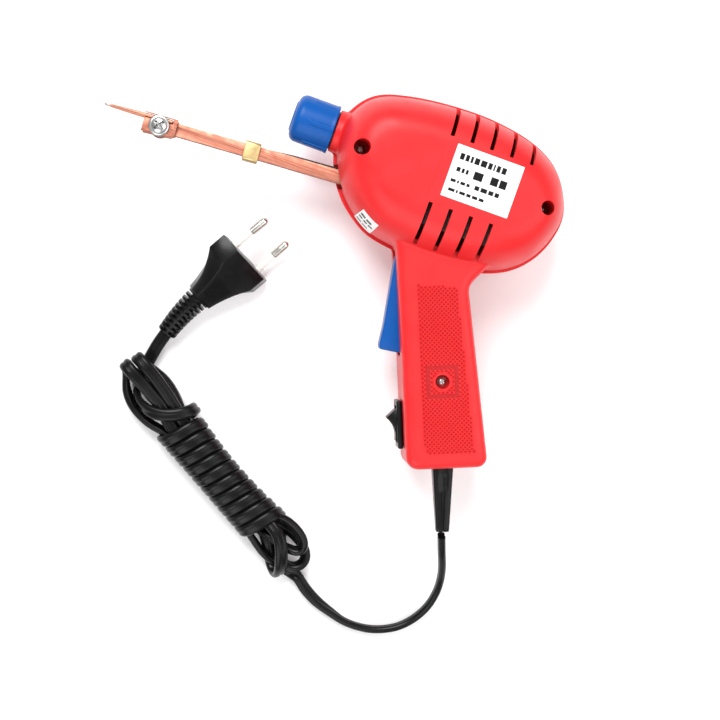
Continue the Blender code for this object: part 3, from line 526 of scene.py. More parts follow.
class Surface:
    """A Principled material whose colour, roughness and bump come from nodes in the object's own space."""

    def __init__(self, name, colour, roughness, metallic=0.0):
        self.material = bpy.data.materials.new(name)
        self.material.use_nodes = True
        self.tree = self.material.node_tree
        self.shader = self.tree.nodes["Principled BSDF"]
        self.colour = (*colour, 1.0)
        self.shader.inputs["Base Color"].default_value = self.colour
        self.shader.inputs["Roughness"].default_value = roughness
        self.shader.inputs["Metallic"].default_value = metallic
        self.space = self.tree.nodes.new("ShaderNodeTexCoord").outputs["Object"]
        self.height = None

    def node(self, kind, settings=None, **inputs):
        node = self.tree.nodes.new("ShaderNode" + kind)
        for key, value in (settings or {}).items():
            setattr(node, key, value)
        for key, value in inputs.items():
            self.feed(node.inputs[key.replace("_", " ")], value)
        return node

    def feed(self, socket, value):
        if isinstance(value, bpy.types.NodeSocket):
            self.tree.links.new(value, socket)
        else:
            socket.default_value = value

    def stretched(self, scale, turn=(0.0, 0.0, 0.0)):
        return self.node("Mapping", Vector=self.space, Scale=scale, Rotation=turn).outputs["Vector"]

    def noise(self, size, detail=3.0, vector=None):
        """Noise from about 0.3 to 0.7, with features of the size given in millimetres."""
        vector = self.space if vector is None else vector
        node = self.node("TexNoise", Vector=vector, Scale=1000.0 / size, Detail=detail, Roughness=0.5)
        return node.outputs["Fac"]

    def remap(self, value, low, high, to_low=0.0, to_high=1.0):
        node = self.node("MapRange", Value=value, From_Min=low, From_Max=high, To_Min=to_low, To_Max=to_high)
        return node.outputs["Result"]

    def math(self, operation, a, b=0.0):
        node = self.node("Math", {"operation": operation})
        self.feed(node.inputs[0], a)
        self.feed(node.inputs[1], b)
        return node.outputs[0]

    def mix(self, share, a, b):
        node = self.node("Mix", {"data_type": "RGBA", "blend_type": "MIX"})
        self.feed(node.inputs["Factor"], share)
        self.feed(node.inputs[6], a)
        self.feed(node.inputs[7], b)
        return node.outputs[2]

    def tint(self, share, colour):
        """Mixes another colour into the base colour by a share that varies over the surface."""
        socket = self.shader.inputs["Base Color"]
        before = socket.links[0].from_socket if socket.is_linked else tuple(socket.default_value)
        self.feed(socket, self.mix(share, before, (*colour, 1.0)))
        return self

    def gloss(self, value):
        self.feed(self.shader.inputs["Roughness"], value)
        return self

    def bump(self, height, distance):
        """Raises the surface by up to the distance in millimetres. Calls add up."""
        node = self.node("Bump", Strength=1.0, Distance=distance * MM, Height=height)
        if self.height is not None:
            self.feed(node.inputs["Normal"], self.height)
        self.height = node.outputs["Normal"]
        self.feed(self.shader.inputs["Normal"], self.height)
        return self

    def paint_shade_on_upright_faces(self, colour):
        """Painted shade: darkens the faces that stand upright, where light from above falls less."""
        normal = self.tree.nodes.new("ShaderNodeTexCoord").outputs["Normal"]
        facing = self.math("ABSOLUTE", self.node("SeparateXYZ", Vector=normal).outputs["Z"])
        self.tint(self.remap(facing, 0.25, 0.75, 0.85, 0.0), colour)

    def scratches(self, length, width, share, turn=(0.0, 0.0, 0.0)):
        """A mask of thin straight marks: near 1 on a scratch. length and width are in millimetres."""
        vector = self.stretched((1.0 / length, 1.0 / width, 1.0 / width), turn)
        node = self.node("TexNoise", Vector=vector, Scale=1000.0, Detail=2.0, Roughness=0.6)
        return self.remap(node.outputs["Fac"], 1.0 - share, 1.05 - share)


def moulded(name, colour, roughness, grain=0.012, darkest=0.78, palest=1.12, specular=0.5):
    """Moulded plastic: slow colour drift, fine grain and hairline scratches."""
    surface = Surface(name, colour, roughness)
    surface.shader.inputs["Specular IOR Level"].default_value = specular
    dark = tuple(value * darkest for value in colour)
    pale = tuple(min(1.0, value * palest + 0.004) for value in colour)
    surface.tint(surface.remap(surface.noise(38.0, 4.0), 0.42, 0.68, 0.0, 0.5), dark)
    surface.tint(surface.remap(surface.noise(9.0, 3.0), 0.45, 0.7, 0.0, 0.35), pale)
    hairs = surface.scratches(14.0, 0.28, 0.31, (0.2, 0.3, 0.7))
    crossed = surface.scratches(9.0, 0.24, 0.30, (0.5, 0.1, 2.1))
    marks = surface.math("MAXIMUM", hairs, crossed)
    surface.tint(surface.math("MULTIPLY", marks, 0.18), pale)
    drift = surface.remap(surface.noise(12.0, 4.0), 0.35, 0.7, roughness - 0.05, roughness + 0.08)
    surface.gloss(surface.math("ADD", drift, surface.math("MULTIPLY", marks, 0.12)))
    surface.bump(surface.noise(0.45, 2.0), grain)
    surface.bump(surface.noise(22.0, 1.0), 0.06)
    return surface


def hatched_red():
    """The housing's red, with painted shade that darkens it towards the floor of each sunk diamond."""
    surface = moulded("hatched_red", RED, 0.38, 0.006, 0.9, 1.08, 0.27)
    height = surface.node("SeparateXYZ", Vector=surface.space).outputs["Z"]
    above = surface.math("ABSOLUTE", surface.math("SUBTRACT", height, SEAM * MM))
    low = (HANDLE_HALF + 0.05) * MM
    high = (HANDLE_HALF + DIAMOND_RISE * 0.9) * MM
    # Painted shade in the sunk diamonds: darkest at their floors, fading out towards the ridges.
    surface.tint(surface.remap(above, low, high, 0.85, 0.0), (0.34, 0.003, 0.005))
    return surface.material


def black_pvc():
    """Soft cord sheath, with paler rubbed patches."""
    surface = moulded("black_pvc", (0.0030, 0.0031, 0.0036), 0.27, 0.008, specular=0.22)
    surface.tint(surface.remap(surface.noise(5.0, 3.0), 0.55, 0.75, 0.0, 0.5), (0.011, 0.0105, 0.0105))
    return surface.material


def metal(name, colour, roughness, dark, light, spread=0.5):
    """Bare metal, with dark and light patches and a gloss that varies."""
    surface = Surface(name, colour, roughness, 1.0)
    surface.tint(surface.remap(surface.noise(6.0, 4.0), 0.4, 0.7, 0.0, spread), dark)
    surface.tint(surface.remap(surface.noise(1.6, 3.0), 0.5, 0.75, 0.0, spread * 0.7), light)
    surface.gloss(surface.remap(surface.noise(3.0, 4.0), 0.35, 0.7, roughness - 0.08, roughness + 0.12))
    return surface


def copper():
    surface = metal("copper", (0.54, 0.215, 0.15), 0.5, (0.44, 0.155, 0.10), (0.63, 0.29, 0.21), 0.4)
    turn = (0.0, 0.0, -ARM_SLOPE)
    drawn = surface.scratches(30.0, 0.55, 0.47, turn)
    surface.tint(surface.math("MULTIPLY", drawn, 0.75), (0.34, 0.11, 0.065))
    bright = surface.scratches(18.0, 0.4, 0.40, turn)
    surface.tint(surface.math("MULTIPLY", bright, 0.3), (0.74, 0.39, 0.29))
    # Painted shade on the bars' upright sides.
    surface.paint_shade_on_upright_faces((0.20, 0.055, 0.03))
    surface.bump(surface.noise(1.0, 2.0, surface.stretched((0.04, 2.6, 2.6), turn)), 0.03)
    return surface.material


def tinned_copper():
    """Copper wire, grey with solder over its last few millimetres."""
    surface = metal("tinned_copper", (0.66, 0.29, 0.20), 0.45, (0.52, 0.20, 0.13), (0.76, 0.42, 0.31), 0.4)
    along = surface.node("SeparateXYZ", Vector=surface.space).outputs["X"]
    ragged = surface.math("ADD", along, surface.math("MULTIPLY", surface.noise(1.5, 3.0), 0.003))
    surface.tint(surface.remap(ragged, -0.1515, -0.1525, 0.0, 0.9), (0.55, 0.52, 0.50))
    surface.tint(surface.math("MULTIPLY", surface.scratches(18.0, 0.2, 0.4), 0.4), (0.55, 0.22, 0.13))
    surface.bump(surface.noise(0.6, 3.0), 0.02)
    return surface.material


def brass():
    surface = metal("brass", (0.62, 0.46, 0.22), 0.42, (0.48, 0.34, 0.14), (0.72, 0.58, 0.34))
    # Painted shade on the strip's upright sides.
    surface.paint_shade_on_upright_faces((0.30, 0.17, 0.06))
    surface.bump(surface.noise(0.8, 3.0), 0.015)
    return surface.material


def steel():
    surface = metal("steel", (0.60, 0.60, 0.59), 0.30, (0.40, 0.40, 0.40), (0.74, 0.74, 0.73))
    # Painted shade on the screws' upright sides and recess walls.
    surface.paint_shade_on_upright_faces((0.05, 0.05, 0.05))
    surface.bump(surface.noise(0.6, 3.0), 0.012)
    return surface.material


def nickel():
    surface = metal("nickel", (0.67, 0.66, 0.61), 0.20, (0.49, 0.47, 0.41), (0.78, 0.77, 0.74), 0.35)
    surface.bump(surface.noise(0.7, 2.0), 0.008)
    return surface.material


def core_steel():
    """Stacked laminations: fine dark lines across the stack, with blueing and specks of rust."""
    surface = metal("core_steel", (0.16, 0.155, 0.15), 0.5, (0.07, 0.07, 0.075), (0.24, 0.19, 0.15))
    sheets = surface.node("TexWave", {"bands_direction": "X"}, Vector=surface.space, Scale=320.0)
    surface.bump(sheets.outputs["Fac"], 0.12)
    surface.tint(surface.remap(surface.noise(2.2, 5.0), 0.6, 0.72, 0.0, 0.6), (0.20, 0.08, 0.035))
    return surface.material


def winding():
    """Lacquered wire laid side by side."""
    surface = metal("winding", (0.55, 0.19, 0.07), 0.35, (0.30, 0.09, 0.04), (0.75, 0.33, 0.14))
    along = {"bands_direction": "Y"}
    turns = surface.node("TexWave", along, Vector=surface.space, Scale=420.0, Distortion=0.6)
    surface.bump(turns.outputs["Fac"], 0.2)
    return surface.material


def fibre():
    """Pressed insulating board with short fibres showing."""
    surface = moulded("fibre", (0.02, 0.016, 0.015), 0.6, 0.02)
    strands = surface.noise(0.8, 4.0, surface.stretched((0.3, 2.0, 2.0)))
    surface.tint(surface.remap(strands, 0.5, 0.7, 0.0, 0.5), (0.075, 0.05, 0.04))
    surface.bump(strands, 0.05)
    return surface.material


def glass():
    surface = Surface("glass", (0.95, 0.95, 0.92), 0.04)
    surface.shader.inputs["Transmission Weight"].default_value = 0.9
    surface.tint(surface.remap(surface.noise(3.0, 3.0), 0.4, 0.7, 0.0, 0.3), (0.85, 0.83, 0.75))
    surface.gloss(surface.remap(surface.noise(2.0, 3.0), 0.4, 0.7, 0.02, 0.12))
    return surface.material


def label_paper():
    """Coated white paper with a faint fibre and handling marks."""
    surface = Surface("label_paper", (0.83, 0.83, 0.82), 0.45)
    surface.tint(surface.remap(surface.noise(1.2, 5.0), 0.45, 0.75, 0.0, 0.25), (0.70, 0.69, 0.66))
    surface.tint(surface.remap(surface.noise(11.0, 3.0), 0.5, 0.75, 0.0, 0.25), (0.74, 0.73, 0.72))
    surface.gloss(surface.remap(surface.noise(4.0, 3.0), 0.35, 0.7, 0.38, 0.55))
    surface.bump(surface.noise(0.5, 4.0), 0.01)
    return surface.material


MATERIALS = {name: moulded(name, *finish).material for name, finish in PLASTICS.items()}
for make in (black_pvc, copper, brass, steel, nickel, core_steel, winding, fibre, glass, label_paper):
    MATERIALS[make.__name__] = make()


def dress_cad_nodes():
    """Gives every CAD node its slot's material."""
    for part in frame["record"]["subparts"]:
        mesh = frame["nodes"][part["node"]].data
        mesh.materials.clear()
        mesh.materials.append(MATERIALS[part["material_slot"]])


# ---------------------------------------------------------------- the housing

def body_outline(outward, steps=8):
    outline = [(x, y) for x, y in catmull(BODY_OUTLINE, steps, closed=True)]
    return inset(outline, -outward) if outward else outline


def dome_ring(outline, height, side, start, angle):
    """The outline at one level of the dome: an angle of 0 is the seam, and pi / 2 the flat top."""
    spread = DOME_FLAT + (1.0 - DOME_FLAT) * max(math.cos(angle), 0.0) ** (2.0 / DOME_POWER)
    rise = math.sin(angle) ** (2.0 / DOME_POWER)
    z = SEAM + side * (start + (height - start) * rise)
    across = RIDGE + (1.0 - RIDGE) * spread
    centre_x, centre_y = BODY_CENTRE
    return [(centre_x + (x - centre_x) * across, centre_y + (y - centre_y) * spread, z) for x, y in outline]


def dome(name, side, outward, height, count):
    outline = body_outline(outward)
    rings = [[(x, y, SEAM - side * SKIRT) for x, y in outline]]
    for angle in np.linspace(0.0, math.pi / 2.0, count):
        rings.append(dome_ring(outline, height, side, 0.0, angle))
    return loft(name, rings)


def handle(name, side):
    outline = rounded(HANDLE_CORNERS)
    rings = [[(x, y, SEAM - side * SKIRT) for x, y in outline]]
    for angle in np.linspace(0.0, math.pi / 2.0, 9):
        z = SEAM + side * (HANDLE_HALF - HANDLE_FILLET + HANDLE_FILLET * math.sin(angle))
        rings.append([(x, y, z) for x, y in inset(outline, HANDLE_FILLET * (1.0 - math.cos(angle)) + 0.001)])
    return loft(name, rings)


def strip_along_front(start, end, outside, inside):
    """A four-cornered outline that straddles the handle's front edge between two distances down it."""
    corners = [(start, outside), (end, outside), (end, -inside), (start, -inside)]
    return [tuple((FRONT_TOP + FRONT_DOWN * s + FRONT_OUT * out).xy) for s, out in corners]


def clamp_screw_places():
    return [tuple((RELIEF_FRAME @ Vector((CLAMP_X, y, 0.0))).xy) for y in (-CLAMP_SCREW_Y, CLAMP_SCREW_Y)]


def cavity(name, side, outward, span):
    """The hollow inside a cover, with posts left standing for screws, pin, core, cord clamp and spring."""
    past_seam = (SEAM - side * SKIRT, SEAM + side * (HANDLE_HALF - WALL))
    pieces = [
        dome(name + "_dome", side, outward - WALL, SEAM - WALL, 12),
        prism(name + "_handle", inset(rounded(HANDLE_CORNERS), WALL), min(past_seam), max(past_seam)),
    ]
    hollow = fuse(name, pieces, 1.0, 0)
    posts = [
        post(f"{name}_{label}_post", x, y, radius + WELL_WALL, *span(GAP / 2.0, PAST_COVER))
        for label, (x, y, radius, _) in WELLS.items()
    ]
    posts.append(post(name + "_pin_boss", PIVOT.x, PIVOT.y, PIN_BOSS_RADIUS, *span(6.6, PAST_COVER)))
    for i, x in enumerate(CORE_RESTS_X):
        rest = ((x, x + CORE_REST_THICK), (-12.0, 10.0), span(CORE_HALF + GAP, PAST_COVER))
        posts.append(box(f"{name}_rest_{i}", *rest))
    if side < 0:
        for i, (x, y) in enumerate(clamp_screw_places()):
            posts.append(post(f"{name}_clamp_{i}", x, y, CLAMP_POST_RADIUS, *span(6.3, PAST_COVER)))
        reach = span(-5.0, PAST_COVER)
        posts.append(post(name + "_spring_post", *SPRING_POST.xy, SPRING_POST_RADIUS, *reach))
    return carve(hollow, "DIFFERENCE", posts)


def cover(name, side):
    """One half of the housing. side is +1 for the upper cover and -1 for the lower one."""
    outward = 0.0 if side > 0 else LOWER_LIP

    def span(low, high):
        ends = (SEAM + side * low, SEAM + side * high)
        return min(ends), max(ends)

    collar = [(-56.5, COLLAR_RADIUS), (-51.0, COLLAR_RADIUS), (-47.0, 10.4), (-43.0, 12.4), (-39.0, 12.4)]
    skin = [
        dome(name + "_dome", side, outward, SEAM, 28), handle(name + "_handle", side),
        turned(name + "_collar", collar, place=LAMP_FRAME),
    ]
    shell = fuse(name, skin, VOXEL, 10)
    bore = [(-60.0, SOCKET_RADIUS + GAP), (-48.8, SOCKET_RADIUS + GAP)]
    relief_across = (-RELIEF_SLOT_HALF, RELIEF_SLOT_HALF)
    cuts = [
        cavity(name + "_cavity", side, outward, span),
        box(name + "_seam", (-80.0, 80.0), (-160.0, 60.0), span(-40.0, GAP / 2.0)),
        turned(name + "_bore", bore, place=LAMP_FRAME),
        box(name + "_arm_window", ARM_WINDOW_X, ARM_WINDOW_Y, span(-2.0, ARM_WINDOW_HALF)),
        prism(name + "_trigger_slot", strip_along_front(*TRIGGER_SLOT), *span(-2.0, SLOT_HALF)),
        prism(name + "_switch_slot", strip_along_front(*SWITCH_SLOT), *span(-2.0, SLOT_HALF)),
        post(name + "_pin_hole", PIVOT.x, PIVOT.y, PIN_RADIUS + GAP, *span(-2.0, PIN_HALF + GAP)),
        box(name + "_relief_slot", RELIEF_SLOT_X, relief_across, relief_across, place=RELIEF_FRAME),
    ]
    for label, (x, y, radius, seat) in WELLS.items():
        hole = (SCREW_FOOT - 1.0, seat + 1.0) if side > 0 else (SCREW_FOOT - 1.0, SEAM + 2.0)
        cuts.append(post(f"{name}_{label}_hole", x, y, SHANK_RADIUS + GAP, *hole))
        if side > 0:
            cuts.append(post(f"{name}_{label}_well", x, y, radius, seat, 2.2 * SEAM, sides=64))
    half = VENT_WIDTH / 2.0
    vents = [(x, UPPER_VENT_Y, UPPER_VENT_START) for x in UPPER_VENTS]
    vents += [(x, LOWER_VENT_Y, LOWER_VENT_START) for x in LOWER_VENTS]
    for x, across, start in vents:
        cuts.append(box(f"{name}_vent_{x}_{start}", (x - half, x + half), across, span(start, VENT_END)))
    if side < 0:
        for i, (x, y) in enumerate(clamp_screw_places()):
            cuts.append(post(f"{name}_clamp_hole_{i}", x, y, CLAMP_HOLE_RADIUS, 16.5, 29.0))
    for x in PARTING_LINES:
        width = (x - PARTING_LINE_HALF, x + PARTING_LINE_HALF)
        depth = span(SEAM - PARTING_LINE_HALF, PAST_COVER)
        cuts.append(box(f"{name}_line_{x}", width, (-14.0, 15.2), depth))
    carve(shell, "DIFFERENCE", cuts)
    return stand_for(shell, "housing", "red_plastic", name)


def inside(point, corners):
    """Whether a point lies in a convex outline that runs clockwise."""
    pairs = zip(corners, corners[1:] + corners[:1])
    return all((b[0] - a[0]) * (point[1] - a[1]) - (b[1] - a[1]) * (point[0] - a[0]) < 0.0 for a, b in pairs)


def hatching(name, side):
    """A panel of small sunk diamonds, open round the screw well, with a square of low ridges round that."""
    screw_x, screw_y, well = WELLS["handle"][:3]
    middle = Vector((screw_x, screw_y, 0.0))
    points = []
    faces = []
    corners = {}
    edges = {}

    def place(i, j):
        """The crossing i ridges down one diagonal and j down the other, from the screw."""
        return middle + FRONT_OUT * (j - i) * DIAMOND[0] / 2.0 + FRONT_DOWN * (i + j) * DIAMOND[1] / 2.0

    def corner(i, j):
        """The upper and lower point at a crossing of the ridges."""
        if (i, j) not in corners:
            x, y, _ = place(i, j)
            off = max(abs(j - i) * DIAMOND[0], abs(i + j) * DIAMOND[1]) / 2.0
            rise = SQUARE_RISE if abs(off - SQUARE_HALF) < DIAMOND[0] * SQUARE_BAND else DIAMOND_RISE
            corners[i, j] = len(points)
            points.append((x, y, SEAM + side * (HANDLE_HALF + rise)))
            points.append((x, y, SEAM + side * (HANDLE_HALF - PANEL_ROOT)))
        return corners[i, j]

    for i in range(-DIAMOND_COUNT, DIAMOND_COUNT):
        for j in range(-DIAMOND_COUNT, DIAMOND_COUNT):
            x, y, _ = place(i + 0.5, j + 0.5)
            away = math.hypot(x - screw_x, y - screw_y)
            if away < well + 1.0 or not inside((x, y), PANEL):
                continue
            ring = [corner(i, j), corner(i + 1, j), corner(i + 1, j + 1), corner(i, j + 1)]
            inner = len(points)
            for share, low in ((DIAMOND_RIDGE, False), (DIAMOND_FLOOR, True)):
                for index in ring:
                    near = Vector((x, y, points[index][2])).lerp(Vector(points[index]), share)
                    height = SEAM + side * (HANDLE_HALF + DIAMOND_FLOOR_RISE) if low else near.z
                    points.append((near.x, near.y, height))
            faces.append(tuple(range(inner + 4, inner + 8)))
            faces.append(tuple(index + 1 for index in ring))
            for k in range(4):
                after = (k + 1) % 4
                a, b = ring[k], ring[after]
                faces.append((a, b, inner + after, inner + k))
                faces.append((inner + k, inner + after, inner + 4 + after, inner + 4 + k))
                edge = tuple(sorted((a, b)))
                edges[edge] = (a, b, edges.get(edge, (0, 0, 0))[2] + 1)
    faces += [(a, b, b + 1, a + 1) for a, b, used in edges.values() if used == 1]
    panel = add_mesh(name, points, faces, None, 5.0)
    stand_for(panel, "housing", "red_plastic")
    panel.data.materials[0] = hatched_red()


def rating_label():
    """A plain sheet, with rows of bars where the real one has print."""
    low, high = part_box("rating_label")
    left, front, under = (value / MM for value in low)
    right, back = high.x / MM, high.y / MM
    outline = rounded_box((left, right), (front, back), 0.25)
    sheet = prism("rating_label_fine", outline, under - 0.08, under + 0.06)
    stand_for(sheet, "housing", "label_paper", "rating_label")
    bars = []
    for up, height, start, lengths in LABEL_ROWS:
        along = left + start
        for i, length in enumerate(lengths):
            place = ((along, along + length), (front + up, front + up + height), (under + 0.05, under + 0.09))
            bars.append(box(f"bar_{up}_{i}", *place))
            along += length + 0.7
    stand_for(joined("rating_label_bars", bars), "housing", "black_plastic")


def seam_label():
    """The small label that bends over the body's edge, a little above its surface."""
    first, last = (round(place * LABEL_STEPS) for place in SMALL_LABEL_SPAN)
    angles = np.linspace(0.0, SMALL_LABEL_RISE, 12)

    def sheet(lift):
        outline = body_outline(lift, LABEL_STEPS)[first:last + 1]
        return [dome_ring(outline, SEAM + lift, 1, 1.0, angle) for angle in angles]

    def net(name, low, high, columns, rows):
        under, over = sheet(low), sheet(high)
        rings = []
        for column in columns:
            rings.append([under[row][column] for row in rows] + [over[row][column] for row in rows][::-1])
        return loft(name, rings)

    count = last - first
    paper = net("seam_label", 0.02, 0.14, range(count + 1), range(12))
    stand_for(paper, "housing", "label_paper", "seam_sticker")
    bars = []
    for i, row in enumerate(SMALL_LABEL_ROWS):
        for j, (start, end) in enumerate(SMALL_LABEL_BARS[i % 2]):
            columns = range(round(start * count), round(end * count) + 1)
            bars.append(net(f"seam_bar_{i}_{j}", 0.12, 0.17, columns, (row, row + 1)))
    stand_for(joined("seam_label_bars", bars), "housing", "black_plastic")


# ---------------------------------------------------------------- metal and fittings

def smooth_step(value):
    value = min(max(value, 0.0), 1.0)
    return value * value * (3.0 - 2.0 * value)


def tube(name, path, section, surface=None, up=(0.0, 0.0, 1.0), place=None):
    """A solid along a path. section(i) gives the ring there as (sideways, upwards) points."""
    path = [Vector(point) for point in path]
    rings = []
    for i, point in enumerate(path):
        along = (path[min(i + 1, len(path) - 1)] - path[max(i - 1, 0)]).normalized()
        side = along.cross(Vector(up)).normalized()
        over = side.cross(along)
        rings.append([tuple(point + side * a + over * b) for a, b in section(i)])
    return loft(name, rings, surface, 40.0, place=place)


def trigger_spring():
    """The return spring between the trigger and its post."""
    steps = 24
    near, far = SPRING_SPAN
    path = []
    for i in range(SPRING_COILS * steps + 1):
        angle = 2.0 * math.pi * i / steps
        along = near + (far - near) * i / (SPRING_COILS * steps)
        path.append((along, SPRING_Y + SPRING_RADIUS * math.cos(angle), SPRING_RADIUS * math.sin(angle)))
    place = Matrix.Translation(SWITCH_CONTACT) @ SWITCH_TURN.to_4x4()
    wire = circle(0.0, 0.0, SPRING_WIRE, 10)
    piece = tube("trigger_spring_fine", path, lambda i: wire, MATERIALS["steel"], (1.0, 0.0, 0.0), place)
    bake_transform(piece)
    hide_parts("trigger_spring")


def lamp_cap():
    """The cap over the lamp: a rounded shoulder with a raised disc in front, and ribs for the fingers."""
    bore = SOCKET_RADIUS + 0.4
    shoulder = [
        (-72.0 - SHOULDER * math.sin(a), CAP_RADIUS - SHOULDER + SHOULDER * math.cos(a))
        for a in np.linspace(0.0, math.pi / 2.0, 12)
    ]
    front = [
        (-57.3, bore), (-73.0, bore), (-73.0, 5.0), (-76.1, 5.0), (-76.2, 5.2), (-76.2, 6.3), (-76.05, 6.6),
    ]
    wall = [(x, CAP_RADIUS) for x in np.linspace(-70.9, -58.6, 42)]
    lip = [(-58.3, 0.05), (-58.0, 0.2), (-57.3, 0.2), (-57.0, -0.1)]
    skirt = [(x, CAP_RADIUS + rise) for x, rise in lip]
    profile = front + shoulder[::-1] + wall + skirt + [(-57.0, bore + 0.3)]
    pitch = 2.0 * math.pi / CAP_RIBS
    rings = []
    for x, radius in profile:
        ring = []
        for step in range(CAP_SIDES):
            angle = 2.0 * math.pi * step / CAP_SIDES
            past_rib = (angle - RIB_TURN - math.pi / 2.0 + pitch / 2.0) % pitch
            off = abs(past_rib - pitch / 2.0) * CAP_RADIUS
            rib = smooth_step((RIB_HALF - off) / 0.35 + 0.5) * smooth_step((x + 69.2) / 0.9)
            if radius < CAP_RADIUS - 0.5:
                rib = 0.0
            reach = radius + RIB_RISE * rib
            ring.append((x, reach * math.cos(angle), reach * math.sin(angle)))
        rings.append(ring)
    cap = loft("lamp_cap_fine", rings, None, 30.0, True, LAMP_FRAME)
    stand_for(cap, "lamp_cap_body", "blue_plastic", "lamp_cap")


def fine_screw(node, place, head, shank, turn=0.0):
    """A pan-head screw with a rim and a cross recess. head is (radius, height), shank (radius, length)."""
    radius, height = head
    shank_radius, length = shank
    profile = [
        (-length, shank_radius * 0.5), (-length + 1.5, shank_radius), (0.0, shank_radius),
        (0.0, radius * 0.97),
        (height * 0.1, radius), (height * 0.34, radius), (height * 0.46, radius * 0.96),
        (height * 0.54, radius * 0.88), (height * 0.56, radius * 0.80), (height * 0.72, radius * 0.72),
        (height * 0.88, radius * 0.56), (height * 0.97, radius * 0.34), (height, radius * 0.12),
    ]
    place = place @ Matrix.Rotation(turn, 4, "Z")
    rings = [[(x, y, z) for x, y in circle(0.0, 0.0, across, 72)] for z, across in profile]
    piece = loft(node + "_fine", rings, None, 28.0, place=place)
    above, deep = height * 1.2, height * 0.38
    reach = radius * 0.66
    mouth_and_foot = ((above, reach, radius * 0.15), (deep, reach * 0.6, radius * 0.07))
    wedge = [[(x, y, z) for x, y in rectangle((0.0, far), (-half, half))] for z, far, half in mouth_and_foot]
    cuts = []
    for i in range(4):
        arm = place @ Matrix.Rotation(math.pi / 2.0 * i, 4, "Z")
        cuts.append(loft(f"{node}_arm_{i}", wedge, place=arm))
    middle = ((deep, radius * 0.16), (above, radius * 0.42))
    core = [[(x, y, z) for x, y in circle(0.0, 0.0, across, 4)] for z, across in middle]
    cuts.append(loft(node + "_core", core, place=place))
    carve(piece, "DIFFERENCE", cuts)
    return stand_for(piece, "housing", "steel", node)


def screws():
    for label, (x, y, _, seat) in WELLS.items():
        head = HANDLE_SCREW_HEAD if label == "handle" else HOUSING_SCREW_HEAD
        place = Matrix.Translation((x, y, seat + GAP))
        fine_screw(f"housing_screw_{label}", place, head, (SHANK_RADIUS, seat + GAP - SCREW_FOOT), 0.5)
    height = BAR_TOP + GAP + PLATE_THICK + GAP
    for label, flip in (("upper", 0.0), ("lower", math.pi)):
        place = ARM_FRAME @ Matrix.Translation((*TIP_SCREW, 0.0)) @ Matrix.Rotation(flip, 4, "X")
        place = place @ Matrix.Translation((0.0, 0.0, height))
        fine_screw(f"tip_screw_{label}", place, TIP_SCREW_HEAD, TIP_SCREW_SHANK, 0.9)


def band():
    """The brass strip bent round both bars, its edges a little rounded."""
    full = BAR_TOP + 1.2
    half = BAR_WIDTH / 2.0 + 0.4
    inner = rounded_box((-half, half), (-BAR_TOP - GAP, BAR_TOP + GAP), 0.6)
    rings = []
    for x, shrink in ((-41.7, 0.3), (-41.6, 0.1), (-41.3, 0.0), (-35.1, 0.0), (-34.8, 0.1), (-34.7, 0.3)):
        outline = rounded_box((-4.6 + shrink, 4.3 - shrink), (-full + shrink, full - shrink), 1.4)
        rings.append([(x, y, z) for y, z in outline])
    rings.append([(-34.7, y, z) for y, z in inner])
    rings.append([(-41.7, y, z) for y, z in inner])
    stand_for(loft("arm_band_fine", rings, None, 30.0, True, ARM_FRAME), "housing", "brass", "arm_band")


def tip():
    """The bent wire between the two bars, thinner towards its point."""
    height = BAR_TOP + GAP + TIP_WIRE_RADIUS + 0.1
    route = [
        (-75.2, height), (-81.5, height), (-88.5, height), (-96.5, 3.5), (-103.4, 1.25), (-105.4, 0.75),
        (-105.9, 0.0),
    ]
    route += [(x, -z) for x, z in route[-2::-1]]
    path = catmull([(x, TIP_WIRE_Y, z) for x, z in route], 8)

    def section(i):
        share = smooth_step((-path[i][0] - 86.0) / 18.0)
        return circle(0.0, 0.0, TIP_WIRE_RADIUS - 0.12 * share, 24)

    wire = tube("soldering_tip_fine", path, section, up=(0.0, 1.0, 0.0), place=ARM_FRAME)
    stand_for(wire, "housing", "copper", "soldering_tip")
    wire.data.materials[0] = tinned_copper()


def strain_relief():
    """The tapered sleeve at the cord's exit, with a shallow groove above and below, and small side holes."""
    stations = [(-4.8, 5.8), (-3.0, 5.8), (-3.0, 4.2), (0.4, 4.2), (0.5, 4.6), (0.9, 4.7)]
    for x in np.linspace(3.0, RELIEF_LENGTH - 0.7, 24):
        stations.append((x, 4.7 - 1.75 * (x - 0.5) / (RELIEF_LENGTH - 0.5)))
    stations += [(RELIEF_LENGTH - 0.3, 2.9), (RELIEF_LENGTH, 2.7)]
    rings = []
    for x, half in stations:
        corner = half * 0.3
        valley = 0.42 * smooth_step((x - 2.0) / 3.0)
        wide = half * (0.36 - 0.008 * x)
        top = [(-wide, half), (-wide * 0.45, half - valley), (wide * 0.45, half - valley), (wide, half)]
        square = [(half, -half), (half, half), (-half, half), (-half, -half)]
        edge = rounded([(*point, corner) for point in square], 4)
        edge = edge[:10] + top[::-1] + edge[10:] + [(y, -z) for y, z in top]
        rings.append([(x, y, z) for y, z in edge])
    piece = loft("strain_relief_fine", rings, None, 24.0, place=RELIEF_FRAME)
    holes = []
    for i, x in enumerate((8.6, 18.4)):
        drill = RELIEF_FRAME @ Matrix.Translation((x, 0.0, 0.6)) @ Matrix.Rotation(math.pi / 2.0, 4, "X")
        holes.append(post(f"relief_hole_{i}", 0.0, 0.0, 0.55, 2.6, 8.0, 24, drill))
    carve(piece, "DIFFERENCE", holes)
    stand_for(piece, "housing", "black_pvc", "strain_relief")


def plug_frame():
    flat = Vector((-PLUG_HEADING.y, PLUG_HEADING.x, 0.0))
    rise = PLUG_LEVEL.cross(flat)
    width = flat * math.cos(PLUG_ROLL) + rise * math.sin(PLUG_ROLL)
    thick = PLUG_LEVEL.cross(width)
    turn = Matrix((PLUG_LEVEL, width, thick)).transposed().to_4x4()
    return Matrix.Translation(PLUG_FRONT) @ turn


